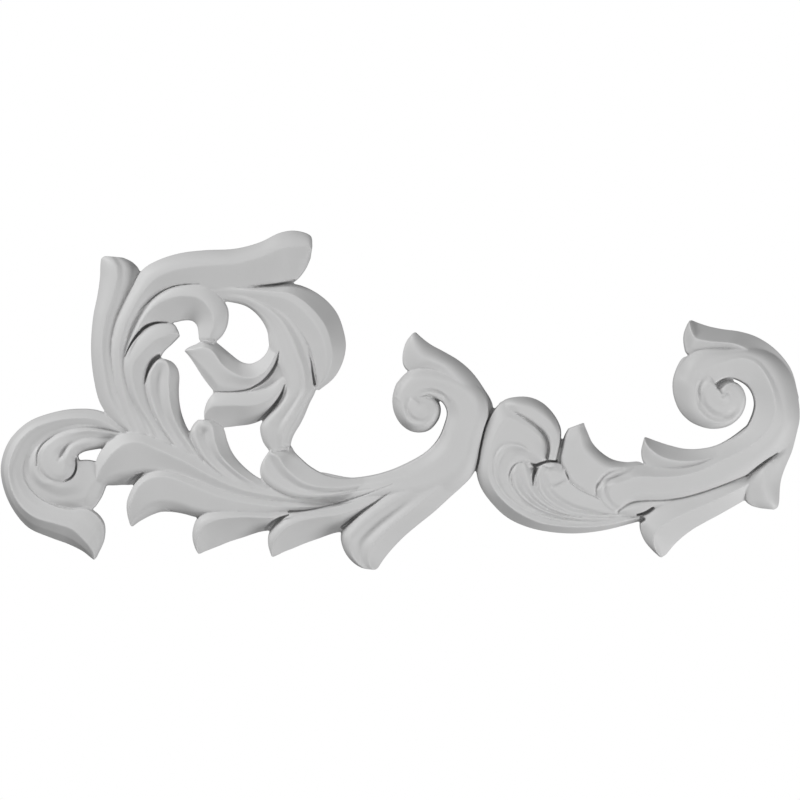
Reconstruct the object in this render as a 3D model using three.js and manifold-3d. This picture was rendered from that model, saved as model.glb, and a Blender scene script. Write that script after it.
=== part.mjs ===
// Scroll onlay: one flat-backed casting of acanthus leaves and volutes, fixed to a wall by its back.
// Millimetres, +Z up. The back lies in the plane Y = 0 and the carving rises towards -Y.
import * as THREE from "three";
import { mergeVertices } from "three/addons/utils/BufferGeometryUtils.js";
import Module from "manifold-3d";

// Driving dimensions.
const WIDTH = 511; // from the left volute to the right volute
const RELIEF = 19; // from the flat back to the highest point of the carving
const DRAFT = 0.06; // how far a side leans in for each millimetre that it rises
const SHARPEST_SHARE = 0.22; // the most of a leaf's width that one leaning side may take

// The outline is drawn on a sheet of 800 by 800 squares, x to the right and y down.
// The sheet is as wide as the onlay, and its centre is the part's origin.
const SHEET = 800;
const SQUARE = WIDTH / SHEET;
const onSheet = (x, y) => new THREE.Vector3((x - SHEET / 2) * SQUARE, 0, (SHEET / 2 - y) * SQUARE);

// A leaf is drawn by ribs, [x, y, x, y], each from the leaf's first edge to its second, from root to tip.
// Its folds are [share of the rib, height in hundredths of the relief, how the surface gets there].
// A share or a height may be a list, which is spread evenly from root to tip.
const leaves = [];
const leaf = (name, ribs, folds) => leaves.push({ name, ribs, folds });

// A button is the same round a centre: its ribs run from the points of its rim to the centre.
const buttons = [];
const button = (name, centre, rim, folds) => buttons.push({ name, centre, rim, folds });

// How steep each kind of surface is at its lower and at its upper end, against a straight slope.
const SLOPES = { straight: [1, 1], round: [2.2, 0.1], cove: [0.3, 1.7], soft: [0.2, 0.2] };

function drawLeftVolute() {
  leaf(
    "outer band",
    [
      [134, 434, 124, 440],
      [103, 411.5, 101, 430],
      [77, 408.5, 79, 429],
      [50, 413, 58, 433],
      [27, 422.5, 41, 441],
      [9, 441, 30, 454],
      [0.5, 465, 25, 469],
      [2.5, 486, 28, 483],
      [12, 508, 38, 495],
      [28, 527.5, 53, 504],
      [50, 537.5, 72, 508],
      [69, 544.5, 90, 508],
      [83, 551.5, 104, 521],
      [90, 557, 105, 538],
      [94, 560, 97, 557],
    ],
    [
      [0, [34, 52, 52, 48, 41, 30, 25, 27, 39]],
      [[0.5, 0.5, 0.45, 0.42, 0.42, 0.46, 0.42, 0.5], [52, 75, 80, 84, 86, 86, 80, 57], "round"],
      [1, [39, 52, 57, 59, 59, 57, 55, 43], "cove"],
    ],
  );
  leaf(
    "second band",
    [
      [130, 432, 126, 440],
      [100, 424, 101, 434],
      [78, 420.5, 80, 433],
      [55, 424.5, 62, 437],
      [36, 436, 50, 446],
      [22.5, 451, 41, 457],
      [17, 468, 39.5, 466],
      [19, 484, 44, 476],
      [31, 500.5, 53, 481.5],
      [50, 508.5, 63, 483],
      [70, 510, 72, 480],
      [92, 510, 77.5, 472],
      [101, 500, 78, 459.5],
      [106, 488, 96, 459.5],
      [109, 480, 106, 464],
    ],
    [
      [0, [34, 50, 52, 52, 52, 50, 43]],
      [[0.5, 0.5, 0.5, 0.6, 0.75, 0.75, 0.6, 0.5], [50, 66, 73, 75, 77, 77, 73, 57], "soft"],
      [1, [39, 55, 52, 55, 61, 61, 50], "cove"],
    ],
  );
  leaf(
    "curl",
    [
      [124, 434, 120, 441],
      [100, 429.5, 100, 438],
      [80, 430, 80, 442],
      [62, 434.5, 66, 447],
      [49, 443, 56, 452],
      [41, 453, 54, 457],
      [38.5, 464, 55, 461],
      [43, 474.5, 58, 464],
      [54, 482, 61, 466],
      [66, 482.5, 65, 466.5],
      [76, 476, 68, 465],
      [79.5, 466, 68, 462],
      [78, 456, 66, 458],
    ],
    [
      [0, [39, 59, 66, 68, 64, 64]],
      [[0.25, 0.25, 0.35, 0.5, 0.5, 0.5], [50, 70, 77, 82, 89, 91], "round"],
      [1, [34, 52, 59, 80, 93, 98], "cove"],
    ],
  );
  leaf(
    "curl leaf",
    [
      [120, 436, 114, 448],
      [98, 435.5, 99, 450],
      [84, 438, 86, 452],
      [73, 442, 78, 455],
      [66, 449, 76, 459],
      [61, 456, 74, 466],
      [58, 463, 69, 471],
    ],
    [
      [0, [34, 57, 66, 82]],
      [0.45, [45, 70, 84, 98], "round"],
      [1, [30, 45, 61, 82], "round"],
    ],
  );
}

function drawTallFrond() {
  leaf(
    "left leaf",
    [
      [128, 431, 142, 436],
      [110, 417.5, 133, 415],
      [100, 403, 124, 396],
      [94, 380, 119, 372],
      [91, 350, 116, 345],
      [93, 318, 122, 318],
      [97.5, 295, 132, 296],
      [100, 277, 139, 280],
      [100.5, 265, 139.5, 271],
      [101, 256.5, 127, 256.5],
    ],
    [
      [0, [30, 48, 52, 52, 52]],
      [[0.5, 0.5, 0.45, 0.5, 0.5, 0.42, 0.3], [45, 70, 77, 80, 73], "round"],
      [1, [30, 41, 41, 34, 30], "cove"],
    ],
  );
  leaf(
    "top leaf",
    [
      [138, 442, 154, 447],
      [122, 414, 145, 418],
      [115.5, 392, 137, 397],
      [111.5, 368, 131, 373],
      [110.5, 345, 130, 350],
      [115, 323, 137, 329],
      [123, 305, 147, 311],
      [133, 286, 159, 297],
      [142, 270, 174, 290],
      [158, 260, 190, 287],
      [180, 253, 206, 287],
      [205, 250, 224, 288],
      [235, 248.5, 245, 287.5],
      [260, 242, 265, 286],
      [280, 232.5, 282, 284.5],
      [296, 230.5, 294.5, 282],
      [311, 236, 305, 270.5],
      [312.5, 246, 310.5, 259],
    ],
    [
      [0, [34, 55, 61, 61, 61, 61, 50]],
      [[0.5, 0.5, 0.55, 0.5, 0.45, 0.4, 0.35, 0.32, 0.32], [45, 75, 84, 89, 91, 93, 91, 73], "round"],
      [1, [32, 43, 48, 50, 52, 52, 50, 43], "cove"],
    ],
  );
  leaf(
    "hooked leaf",
    [
      [152, 446, 164, 450],
      [141, 420, 155, 424],
      [132, 398, 147, 400],
      [126, 376, 141, 378],
      [125, 356, 140, 356],
      [131, 336, 147, 340],
      [141, 315, 156, 329],
      [152, 299.5, 166, 324.5],
      [167, 289.5, 175.5, 322.5],
      [184, 284.5, 186, 320.5],
      [204, 285, 193, 321.5],
      [219, 295, 197, 326],
      [228, 308, 198, 331],
      [228, 324, 198.5, 335.5],
      [223, 335, 199, 339.5],
      [216, 342, 201, 342],
    ],
    [
      [0, [32, 52, 59, 59, 59, 57, 52, 48]],
      [[0.4, 0.35, 0.3, 0.25, 0.3, 0.4, 0.5, 0.55], [43, 70, 80, 84, 86, 84, 70], "round"],
      [1, [27, 39, 43, 45, 48, 50, 48], "cove"],
    ],
  );
  leaf(
    "short leaf",
    [
      [160, 448, 180, 456],
      [147, 424, 168, 432],
      [135, 404, 158, 410],
      [126, 382, 153, 390],
      [123.5, 361, 153, 375],
      [130, 347, 156, 366],
      [138, 335, 160.5, 358],
      [149, 326, 165, 351],
      [162, 322.5, 171, 345.5],
      [174, 324, 177, 339.5],
      [178.5, 331, 180, 336.5],
    ],
    [
      [0, [34, 57, 61, 64, 59, 50]],
      [[0.4, 0.3, 0.35, 0.5, 0.6, 0.65], [45, 73, 82, 84, 80, 59], "round"],
      [1, [30, 41, 41, 41, 45, 48], "cove"],
    ],
  );
  leaf(
    "inner drop",
    [
      [190, 468, 210, 470],
      [174, 447, 194, 446],
      [162, 430, 187.5, 428],
      [153.5, 414, 182, 414],
      [148.5, 400, 179.5, 401],
      [146, 388, 179, 388],
      [147, 376, 179.5, 376],
      [151, 367, 177.5, 368],
      [156, 361, 172.5, 362],
      [161, 358, 167, 359.5],
    ],
    [
      [0, [32, 50, 52, 50, 45]],
      [0.1, [36, 64, 68, 66, 55], "round"],
      [0.26, [34, 57, 57, 57, 55], "soft"],
      [0.54, [41, 70, 75, 73, 61], "soft"],
      [0.72, [34, 61, 61, 61, 57], "soft"],
      [0.83, [34, 64, 66, 64, 52], "soft"],
      [1, [27, 41, 41, 43, 43], "round"],
    ],
  );
}

function drawHookFrond() {
  leaf(
    "outer leaf",
    [
      [204, 285, 202, 296],
      [235, 284, 232, 300],
      [255, 285, 252, 303],
      [275, 284.5, 269, 308],
      [293, 283.5, 283, 314],
      [309, 288.5, 294, 324],
      [325, 299, 302, 335],
      [337, 313, 308, 345],
      [343.5, 330, 312, 354],
      [346, 346, 314, 363],
      [342.5, 363, 315.5, 372],
      [334, 378, 316, 382],
      [319, 390.5, 313, 388],
    ],
    [
      [0, [41, 45, 45, 39, 39, 45]],
      [[0.4, 0.45, 0.55, 0.54, 0.52, 0.55, 0.6], [63, 75, 82, 86, 84, 73, 55], "round"],
      [1, [55, 64, 68, 68, 61, 48], "straight"],
    ],
  );
  leaf(
    "stem leaf",
    [
      [212, 288, 208, 300],
      [232, 290, 228, 302],
      [252, 295, 246, 306.5],
      [272, 303, 259, 317],
      [289, 314, 267, 331],
      [303, 330, 269, 345],
      [312, 350, 274, 360],
      [317, 369, 281, 374],
      [316, 390, 285, 391],
      [309.5, 404, 277.5, 405],
      [305, 415, 268, 415],
      [300, 425, 260.5, 425],
      [295, 433, 260.5, 434],
      [292, 440, 263.5, 443],
      [290.5, 447, 270.5, 452.5],
    ],
    [
      [0, [39, 43, 41, 32, 41, 45, 45]],
      [[0.4, 0.35, 0.3, 0.28, 0.24, 0.24], [57, 66, 73, 80, 80, 75, 64], "round"],
      [[0.7, 0.6, 0.55, 0.48], [55, 66, 68, 66, 66, 59], "soft"],
      [[0.85, 0.82, 0.8], [55, 66, 68, 70, 68, 59], "soft"],
      [1, [41, 45, 50, 50, 48, 43], "round"],
    ],
  );
  leaf(
    "upper finger",
    [
      [271, 326, 292, 338],
      [269.5, 343, 285, 355],
      [266, 353, 281, 368],
      [259, 360, 274, 381],
      [250, 363.5, 262, 391],
      [241, 361.5, 249, 395],
      [232, 355, 236, 397],
      [223, 347.5, 220, 397],
      [214, 341, 211, 388],
      [204, 340, 203, 377.5],
      [196, 344, 196, 366.5],
      [189, 347, 190, 357.5],
      [184.5, 350, 185.5, 352],
    ],
    [
      [0, [41, 57, 57, 52, 52, 52, 45]],
      [[0.5, 0.5, 0.5, 0.45, 0.25, 0.2, 0.3], [50, 75, 82, 82, 80, 70, 52], "round"],
      [1, [39, 39, 39, 43, 48, 48, 41], "cove"],
    ],
  );
  leaf(
    "lower finger",
    [
      [294, 364, 302, 386],
      [285, 372, 292, 390],
      [277, 380, 286, 398],
      [269, 386, 278, 408],
      [258, 389.5, 266, 418],
      [246, 391.5, 252, 424],
      [234, 392, 238, 426],
      [222, 392.5, 224, 427.5],
      [213, 394, 214, 426.5],
      [207.5, 401, 207.5, 424],
      [204.5, 411, 205, 421.5],
    ],
    [
      [0, [45, 61, 64, 64, 57, 48]],
      [[0.5, 0.55, 0.5, 0.42, 0.42, 0.5], [52, 77, 82, 82, 75, 57], "round"],
      [1, [34, 32, 34, 41, 48, 45], "cove"],
    ],
  );
}

function drawFan() {
  leaf(
    "first leaf",
    [
      [330, 500, 330, 508],
      [282, 490, 282, 504],
      [245, 480, 246, 500],
      [222, 470, 224, 495],
      [203, 460, 205, 489],
      [185, 450, 188, 483],
      [168, 442.5, 170, 479],
      [153, 436.5, 154, 479],
      [140, 432.5, 141, 482],
      [127, 432, 131, 485],
      [115, 437, 123, 485],
      [104.5, 446, 115, 485.5],
      [98, 456, 108, 485.5],
      [95.5, 470, 102, 485],
      [96, 479, 98, 483],
    ],
    [
      [0, [34, 57, 61, 64, 57, 48]],
      [[0.45, 0.45, 0.42, 0.3, 0.25, 0.3, 0.5, 0.7], [41, 68, 77, 82, 82, 75, 57], "round"],
      [1, [32, 39, 36, 34, 36, 45, 45], "cove"],
    ],
  );
  leaf(
    "second leaf",
    [
      [340, 503, 342, 510],
      [305, 502.5, 306, 513],
      [272, 500, 273, 516],
      [245, 495.5, 247, 518],
      [222, 489.5, 226, 519],
      [203, 482, 210, 519],
      [187, 476, 197, 517.5],
      [173, 471.5, 184, 514],
      [160, 470, 172, 512],
      [148, 473, 161, 512],
      [138, 479.5, 152, 515],
      [131, 490, 145, 518.5],
      [127, 502, 139, 522],
      [127.5, 513, 135, 525],
      [130, 523, 132.5, 527],
    ],
    [
      [0, [34, 57, 61, 64, 59, 48]],
      [[0.4, 0.35, 0.25, 0.2, 0.2, 0.25, 0.35], [41, 68, 77, 82, 82, 73, 55], "round"],
      [1, [32, 39, 32, 30, 34, 43, 43], "cove"],
    ],
  );
  leaf(
    "third leaf",
    [
      [365, 497, 376, 503],
      [335, 505, 345, 515],
      [310, 509.5, 322, 521],
      [285, 511.5, 300, 526],
      [260, 511.5, 278, 530],
      [240, 510.5, 262, 531.5],
      [222, 510, 243, 537.5],
      [208, 512, 229, 542],
      [198, 517, 218, 546.5],
      [193.5, 526, 209, 550],
      [192.5, 537, 204, 552],
      [195, 547, 201, 553.5],
      [198, 553, 200, 554],
    ],
    [
      [0, [36, 57, 61, 61, 55, 48]],
      [[0.4, 0.38, 0.36, 0.34, 0.4, 0.5], [43, 70, 77, 82, 75, 55], "round"],
      [1, [32, 32, 30, 34, 41, 43], "cove"],
    ],
  );
  leaf(
    "fourth leaf",
    [
      [404, 478, 412, 488],
      [388, 487, 398, 497],
      [370, 494.5, 384, 508],
      [350, 501.5, 368, 520],
      [330, 506.5, 352, 530],
      [310, 510, 335, 533],
      [295, 512.5, 319, 538.5],
      [283, 517.5, 305, 543.5],
      [274, 525, 293, 548.5],
      [268.5, 534, 284, 552],
      [268, 544, 278, 555],
      [271, 555, 273.5, 557],
    ],
    [
      [0, [39, 57, 61, 61, 55, 48]],
      [[0.5, 0.45, 0.4, 0.36, 0.42, 0.5], [45, 70, 77, 82, 77, 55], "round"],
      [1, [34, 32, 30, 34, 41, 43], "cove"],
    ],
  );
  leaf(
    "fifth leaf",
    [
      [444, 448, 478, 458],
      [422, 469, 467, 481],
      [404, 483, 450, 497.5],
      [388, 493.5, 433, 513],
      [374, 502.5, 418, 525],
      [361, 511.5, 405, 536],
      [350, 521, 395, 546],
      [341, 533, 388, 554],
      [342.5, 547, 383, 560.5],
      [350, 559.5, 380, 565],
      [361, 567.5, 378, 568],
      [372, 569.3, 376, 569.5],
    ],
    [
      [0, [39, 61, 64, 59, 50, 43, 41]],
      [0.1, [45, 70, 75, 75, 64, 50], "round"],
      [0.28, [50, 75, 82, 82, 73, 55], "soft"],
      [0.5, [48, 68, 70, 70, 66, 52], "soft"],
      [0.66, [50, 75, 80, 80, 73, 52], "soft"],
      [1, [34, 45, 48, 48, 45], "round"],
    ],
  );
  leaf(
    "left drop",
    [
      [272, 500, 292, 498],
      [247, 489, 268, 483],
      [230, 478.5, 253, 474],
      [215, 467, 242, 464.5],
      [203, 456, 233, 453.5],
      [195, 445, 227.5, 441],
      [190.5, 433, 224.5, 430],
      [192.5, 425.5, 222, 426],
      [198, 419.5, 214, 421],
    ],
    [
      [0, [34, 50, 52, 50, 48]],
      [0.1, [39, 64, 66, 64, 55], "round"],
      [0.36, [36, 57, 57, 57, 57], "soft"],
      [0.64, [43, 70, 73, 68, 57], "soft"],
      [1, [30, 39, 41, 43, 43], "round"],
    ],
  );
  leaf(
    "right drop",
    [
      [396, 486, 394, 470],
      [362, 492, 362, 476.5],
      [335, 496.5, 342, 477.5],
      [312, 498.5, 325, 474],
      [293, 497, 311, 466.5],
      [279, 492, 301, 458],
      [268, 485, 295, 452],
      [260.5, 476, 290.5, 445.5],
      [260.5, 466, 283, 447],
      [264.5, 457.5, 276, 449],
      [269, 451, 273, 449],
    ],
    [
      [0, [39, 57, 57, 52, 48]],
      [0.14, [43, 68, 68, 66, 55], "round"],
      [[0.3, 0.3, 0.38, 0.4], [41, 61, 59, 59, 57], "soft"],
      [[0.5, 0.5, 0.66, 0.66], [45, 73, 73, 73, 59], "soft"],
      [1, [34, 48, 43, 41, 41], "round"],
    ],
  );
}

function drawMiddleVolute() {
  leaf(
    "stem",
    [
      [318, 508, 322, 472],
      [355, 506, 355, 477.5],
      [395, 502, 385, 471.5],
      [425, 502, 408, 462],
      [455, 491.5, 427, 450.5],
      [474, 473, 438, 438],
      [482, 445, 444, 424],
      [489, 420, 446.5, 412],
      [487, 400, 442, 402.5],
      [475, 383, 436, 399.5],
      [455, 371, 428, 398],
      [432, 366, 420, 399],
      [412, 369, 414, 403],
      [399, 380, 412, 408],
      [392.5, 395, 413, 413],
    ],
    [
      [0, [23, 48, 48, 43, 39, 39, 41, 50, 50, 50]],
      [[0.5, 0.5, 0.45, 0.4, 0.32, 0.36, 0.4, 0.4, 0.4], [34, 70, 77, 82, 84, 86, 89, 91, 86], "round"],
      [1, [23, 52, 52, 55, 57, 61, 70, 80, 84], "soft"],
    ],
  );
  button(
    "eye",
    [419, 409],
    [
      [398.5, 381],
      [392.5, 396],
      [393.5, 411],
      [401, 424.5],
      [413, 432],
      [428, 431],
      [438.5, 420],
      [441, 408],
      [437, 399],
      [429, 396],
      [419, 394],
      [408, 385],
    ],
    [
      [0, [50, 50, 50, 50, 50, 52, 55, 61, 70, 77, 82, 68]],
      [0.38, 86, "round"],
      [1, 95, "soft"],
    ],
  );
  leaf(
    "spur",
    [
      [489, 424, 470, 428],
      [493, 406, 466, 404],
      [483, 387, 456, 388],
      [472, 372, 445, 378],
      [459, 360.5, 434, 372],
      [444, 351.5, 420, 371.5],
      [431, 344.5, 408, 372],
      [423, 338.5, 403.5, 366],
      [418, 334, 402.5, 355],
      [415.5, 332, 406, 342],
      [414, 332.5, 411.5, 334.5],
    ],
    [
      [0, [11, 23, 30, 39, 43, 43]],
      [[0.7, 0.7, 0.7, 0.6, 0.45, 0.35, 0.4], [45, 66, 75, 80, 80, 68, 52], "round"],
      [1, [41, 55, 57, 52, 50, 48, 45], "cove"],
    ],
  );
}

function drawShell() {
  leaf(
    "rim",
    [
      [491, 411, 503, 424],
      [498.5, 402.5, 506, 421],
      [510, 398, 513, 418],
      [526, 396, 526, 420],
      [543, 403.5, 537, 428],
      [555, 415.5, 543, 438],
      [562, 428, 545, 448],
      [561, 444, 543, 457],
      [557, 462, 541, 463],
    ],
    [
      [0, [34, 41, 39, 36, 36, 39]],
      [[0.5, 0.5, 0.55, 0.6, 0.6, 0.5], [64, 75, 80, 80, 80, 75], "round"],
      [1, [61, 61, 61, 61, 59, 57], "cove"],
    ],
  );
  leaf(
    "body",
    [
      [550, 452, 538, 468],
      [547, 436, 531, 470],
      [536, 423, 525, 472],
      [520, 413, 521, 474],
      [503, 405, 519, 476],
      [490, 413, 518, 479],
      [482.5, 431, 518, 482],
      [477, 451, 519, 486],
      [474.5, 472, 521, 491],
      [479.5, 488, 525, 497],
      [492, 505, 532, 503],
      [507, 518.5, 542, 509],
      [527, 528, 553, 516.5],
      [550, 532.5, 571, 519.5],
      [575, 533.5, 593, 520],
      [603, 530, 614, 518],
      [638, 522, 636, 513],
    ],
    [
      [0, [45, 55, 50, 41, 34, 34, 36, 39, 39]],
      [[0.25, 0.25, 0.3, 0.35, 0.35, 0.42, 0.48, 0.5, 0.5], [64, 77, 80, 80, 80, 77, 73, 66, 50], "round"],
      [[0.62, 0.62, 0.62, 0.66, 0.72, 0.75, 0.8], [68, 80, 80, 75, 70, 66, 61, 55, 41], "soft"],
      [1, [52, 64, 61, 59, 57, 52, 50, 45, 32], "soft"],
    ],
  );
  leaf(
    "first flute",
    [
      [644, 517, 644, 511],
      [610, 521, 612, 513],
      [585, 520.5, 588, 512],
      [560, 517.5, 566, 508],
      [540, 512, 551, 502],
      [524, 504.5, 542, 494],
      [513, 494, 537, 484],
      [508, 482, 535, 476],
      [509.5, 470, 533, 468],
      [516, 463, 529, 463],
    ],
    [
      [0, [34, 52, 59, 61, 57, 52]],
      [0.12, [45, 64, 70, 75, 73, 61], "round"],
      [0.42, [43, 57, 61, 64, 64, 59], "soft"],
      [0.7, [45, 64, 70, 75, 75, 64], "soft"],
      [1, [34, 48, 50, 50, 45, 45], "round"],
    ],
  );
  leaf(
    "second flute",
    [
      [650, 514, 645, 506],
      [615, 516, 616, 504],
      [590, 515.5, 596, 498],
      [568, 512, 586, 493],
      [551, 505.5, 577, 488],
      [539, 496, 573, 482],
      [533, 484, 570, 475],
      [534, 474, 566, 468],
      [539, 466.5, 561, 463],
      [547, 463, 557, 461.5],
    ],
    [
      [0, [34, 52, 57, 57, 52, 48]],
      [0.09, [45, 64, 70, 70, 68, 57], "round"],
      [0.2, [43, 57, 59, 59, 61, 55], "soft"],
      [0.32, [45, 61, 66, 66, 66, 57], "soft"],
      [1, [45, 57, 61, 64, 61, 52], "straight"],
    ],
  );
}

function drawRightScroll() {
  leaf(
    "collar",
    [
      [600, 500, 645, 470],
      [586, 494, 628, 463.5],
      [572, 485, 611, 459],
      [563, 473, 598, 451],
      [557, 461, 590, 442],
      [559, 448, 587, 433],
      [562, 435, 585.5, 427],
      [567, 428, 583.5, 422.5],
    ],
    [
      [0, [27, 45, 52, 52, 48]],
      [0.06, [32, 55, 64, 64, 55], "round"],
      [0.6, [34, 64, 75, 73, 57], "straight"],
      [1, [25, 39, 36, 36, 39], "round"],
    ],
  );
  leaf(
    "lower leaf",
    [
      [762, 460, 768, 488],
      [745, 473, 747, 499],
      [728, 480, 732, 507.5],
      [710, 487, 718, 515.5],
      [693, 493, 704, 523],
      [677, 497, 692, 530],
      [663, 500, 682, 537.5],
      [652, 508, 674, 545],
      [641, 517, 669, 551],
      [639.5, 527, 665.5, 555],
      [644, 540, 663, 556.5],
      [652, 550, 662, 557.3],
      [659, 556.5, 661.5, 557.5],
    ],
    [
      [0, [23, 39, 45, 43, 41, 41, 41]],
      [[0.4, 0.42, 0.44, 0.47, 0.45, 0.6, 0.6], [41, 66, 73, 75, 73, 61, 52], "round"],
      [1, [23, 41, 45, 45, 45, 45], "soft"],
    ],
  );
  leaf(
    "tail leaf",
    [
      [768, 440, 797.5, 430],
      [770, 456, 792, 451],
      [761, 463.5, 787, 463],
      [752, 472, 783, 473],
      [746, 482, 780.5, 482],
      [744.5, 492, 779.5, 492],
      [745, 500.5, 779, 501],
      [751, 505.5, 777.5, 507],
      [759, 508, 774, 509.5],
    ],
    [
      [0, [30, 48, 52, 50, 45]],
      [[0.3, 0.25, 0.45, 0.72, 0.8], [39, 66, 73, 68, 52], "soft"],
      [1, [14, 36, 45, 45, 45], "round"],
    ],
  );
  leaf(
    "stem",
    [
      [596.5, 494, 596.5, 486],
      [600, 503, 601, 477.5],
      [608, 510, 610, 472],
      [618, 511, 624, 469],
      [632, 504, 640, 464],
      [655, 502, 658, 465],
      [680, 500, 680, 464],
      [703, 495, 700, 458],
      [725, 486, 716, 448],
      [747, 476, 733, 438],
      [768, 464, 744, 428.5],
      [788, 447, 750, 418],
      [798.5, 426, 753.5, 405],
      [799.5, 400, 751.5, 394],
      [791, 373, 746, 386],
      [775, 355, 738, 381],
      [752, 346, 730, 378.5],
      [727, 346.5, 722, 380],
      [703, 350, 715, 384],
      [684, 359, 709, 391],
      [674, 374, 708, 400],
    ],
    [
      [0, [45, 55, 55, 52, 39, 32, 39, 50, 52]],
      [[0.3, 0.35, 0.4, 0.45, 0.42, 0.35, 0.36, 0.4, 0.4], [55, 68, 70, 75, 82, 84, 86, 89, 84], "round"],
      [[0.7, 0.76, 0.7, 0.7, 0.7, 0.75], [52, 70, 75, 77, 80, 82, 86, 82], "soft"],
      [1, [45, 43, 45, 50, 57, 66, 80, 80], "cove"],
    ],
  );
  button(
    "eye",
    [722, 397],
    [
      [683, 359.5],
      [674, 374],
      [672.5, 391],
      [678, 408.5],
      [685, 417.5],
      [694, 424],
      [711, 429],
      [729, 426],
      [741.5, 415],
      [746, 400],
      [742.5, 388],
      [735.5, 382],
      [726, 383],
      [717, 388],
      [705, 372],
    ],
    [
      [0, [50, 50, 50, 50, 50, 50, 52, 57, 59, 61, 64, 64, 64, 68]],
      [0.42, [86, 89, 89, 89, 89, 86, 84, 82, 82, 82, 82, 82, 82, 86], "round"],
      [0.56, [84, 83, 82, 82, 83, 84, 86, 88, 89, 89, 89, 86, 84, 84], "soft"],
      [0.68, 91, "soft"],
      [1, 100, "soft"],
    ],
  );
  leaf(
    "upper spur",
    [
      [748, 424, 756, 440],
      [731, 437, 740, 453],
      [716, 445, 721, 463],
      [700, 448.5, 703, 470],
      [684, 448.5, 684, 473],
      [669, 445, 667, 472.5],
      [658, 441.5, 653, 469],
      [650, 438.5, 643.5, 463],
      [646, 437, 641, 452],
      [644.5, 436.5, 643, 442],
    ],
    [
      [0, [23, 36, 39, 36, 39, 41]],
      [[0.6, 0.6, 0.5, 0.4, 0.3, 0.3], [34, 64, 73, 75, 66, 50], "round"],
      [1, [30, 55, 57, 55, 48, 43], "straight"],
    ],
  );
  leaf(
    "volute spur",
    [
      [799, 398, 774, 402],
      [791, 369, 766, 380],
      [775, 349, 754, 365],
      [757, 337, 741, 354],
      [740, 331.5, 726, 352.5],
      [722, 329, 709, 354],
      [708, 326, 696, 355.5],
      [699, 323, 687, 355.5],
      [694, 321, 683.5, 345],
      [691.5, 320, 683.5, 334],
      [689.5, 320.5, 687, 324.5],
    ],
    [
      [0, [11, 23, 27, 36, 41, 43]],
      [[0.7, 0.7, 0.7, 0.6, 0.45, 0.3, 0.3], [45, 68, 77, 80, 77, 66, 50], "round"],
      [1, [39, 59, 59, 55, 50, 45, 43], "cove"],
    ],
  );
}

// Low ground that shows between the leaves where a crease runs deep: [x, y, radius, height].
const GROUND_SIDES = 14;
const ground = [
  [56, 465, 24, 50],
  [102, 470, 9, 34],
  [86, 507, 6, 34],
  [209, 340, 7, 34],
  [219, 394, 6, 34],
  [213, 424, 7, 34],
  [281, 449, 8, 34],
  [432, 398, 8, 45],
  [484, 440, 20, 16],
  [493, 416, 8, 16],
  [542, 458, 21, 41],
  [561, 447, 8, 16],
  [648, 508, 10, 27],
  [724, 385, 10, 59],
];

// The value of a number, or of a list spread evenly from root to tip, at a share of the way along.
function spread(values, share) {
  if (!Array.isArray(values)) return values;
  const place = share * (values.length - 1);
  const from = Math.min(Math.floor(place), values.length - 2);
  const [before, start, end, after] = [-1, 0, 1, 2].map(
    (i) => values[THREE.MathUtils.clamp(from + i, 0, values.length - 1)],
  );
  const t = place - from;
  const pull = (end - before) / 2;
  const push = (after - start) / 2;
  const bend = 3 * (end - start) - 2 * pull - push;
  const twist = 2 * (start - end) + pull + push;
  return start + pull * t + bend * t ** 2 + twist * t ** 3;
}

// Where one rib's surface runs: [distance from the first edge, height] from edge to edge.
function section(folds, width, share, pointsPerFold) {
  const at = folds.map(([place, height, shape]) => ({
    place: spread(place, share),
    height: (spread(height, share) * RELIEF) / 100,
    shape,
  }));
  const first = Math.min(DRAFT * at[0].height, SHARPEST_SHARE * width);
  const last = Math.min(DRAFT * at.at(-1).height, SHARPEST_SHARE * width);
  const across = (place) => first + place * (width - first - last);
  const points = [
    [0, 0],
    [across(0), at[0].height],
  ];
  for (let i = 1; i < at.length; i++) {
    const [from, to] = [at[i - 1], at[i]];
    const rising = to.height >= from.height;
    const [low, high] = SLOPES[to.shape];
    const [leaving, arriving] = rising ? [low, high] : [high, low];
    const climb = to.height - from.height;
    for (let j = 1; j <= pointsPerFold; j++) {
      const t = j / pointsPerFold;
      const lift = leaving * t + (3 - 2 * leaving - arriving) * t ** 2 + (leaving + arriving - 2) * t ** 3;
      points.push([across(THREE.MathUtils.lerp(from.place, to.place, t)), from.height + climb * lift]);
    }
  }
  points.push([width, 0]);
  return points;
}

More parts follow.
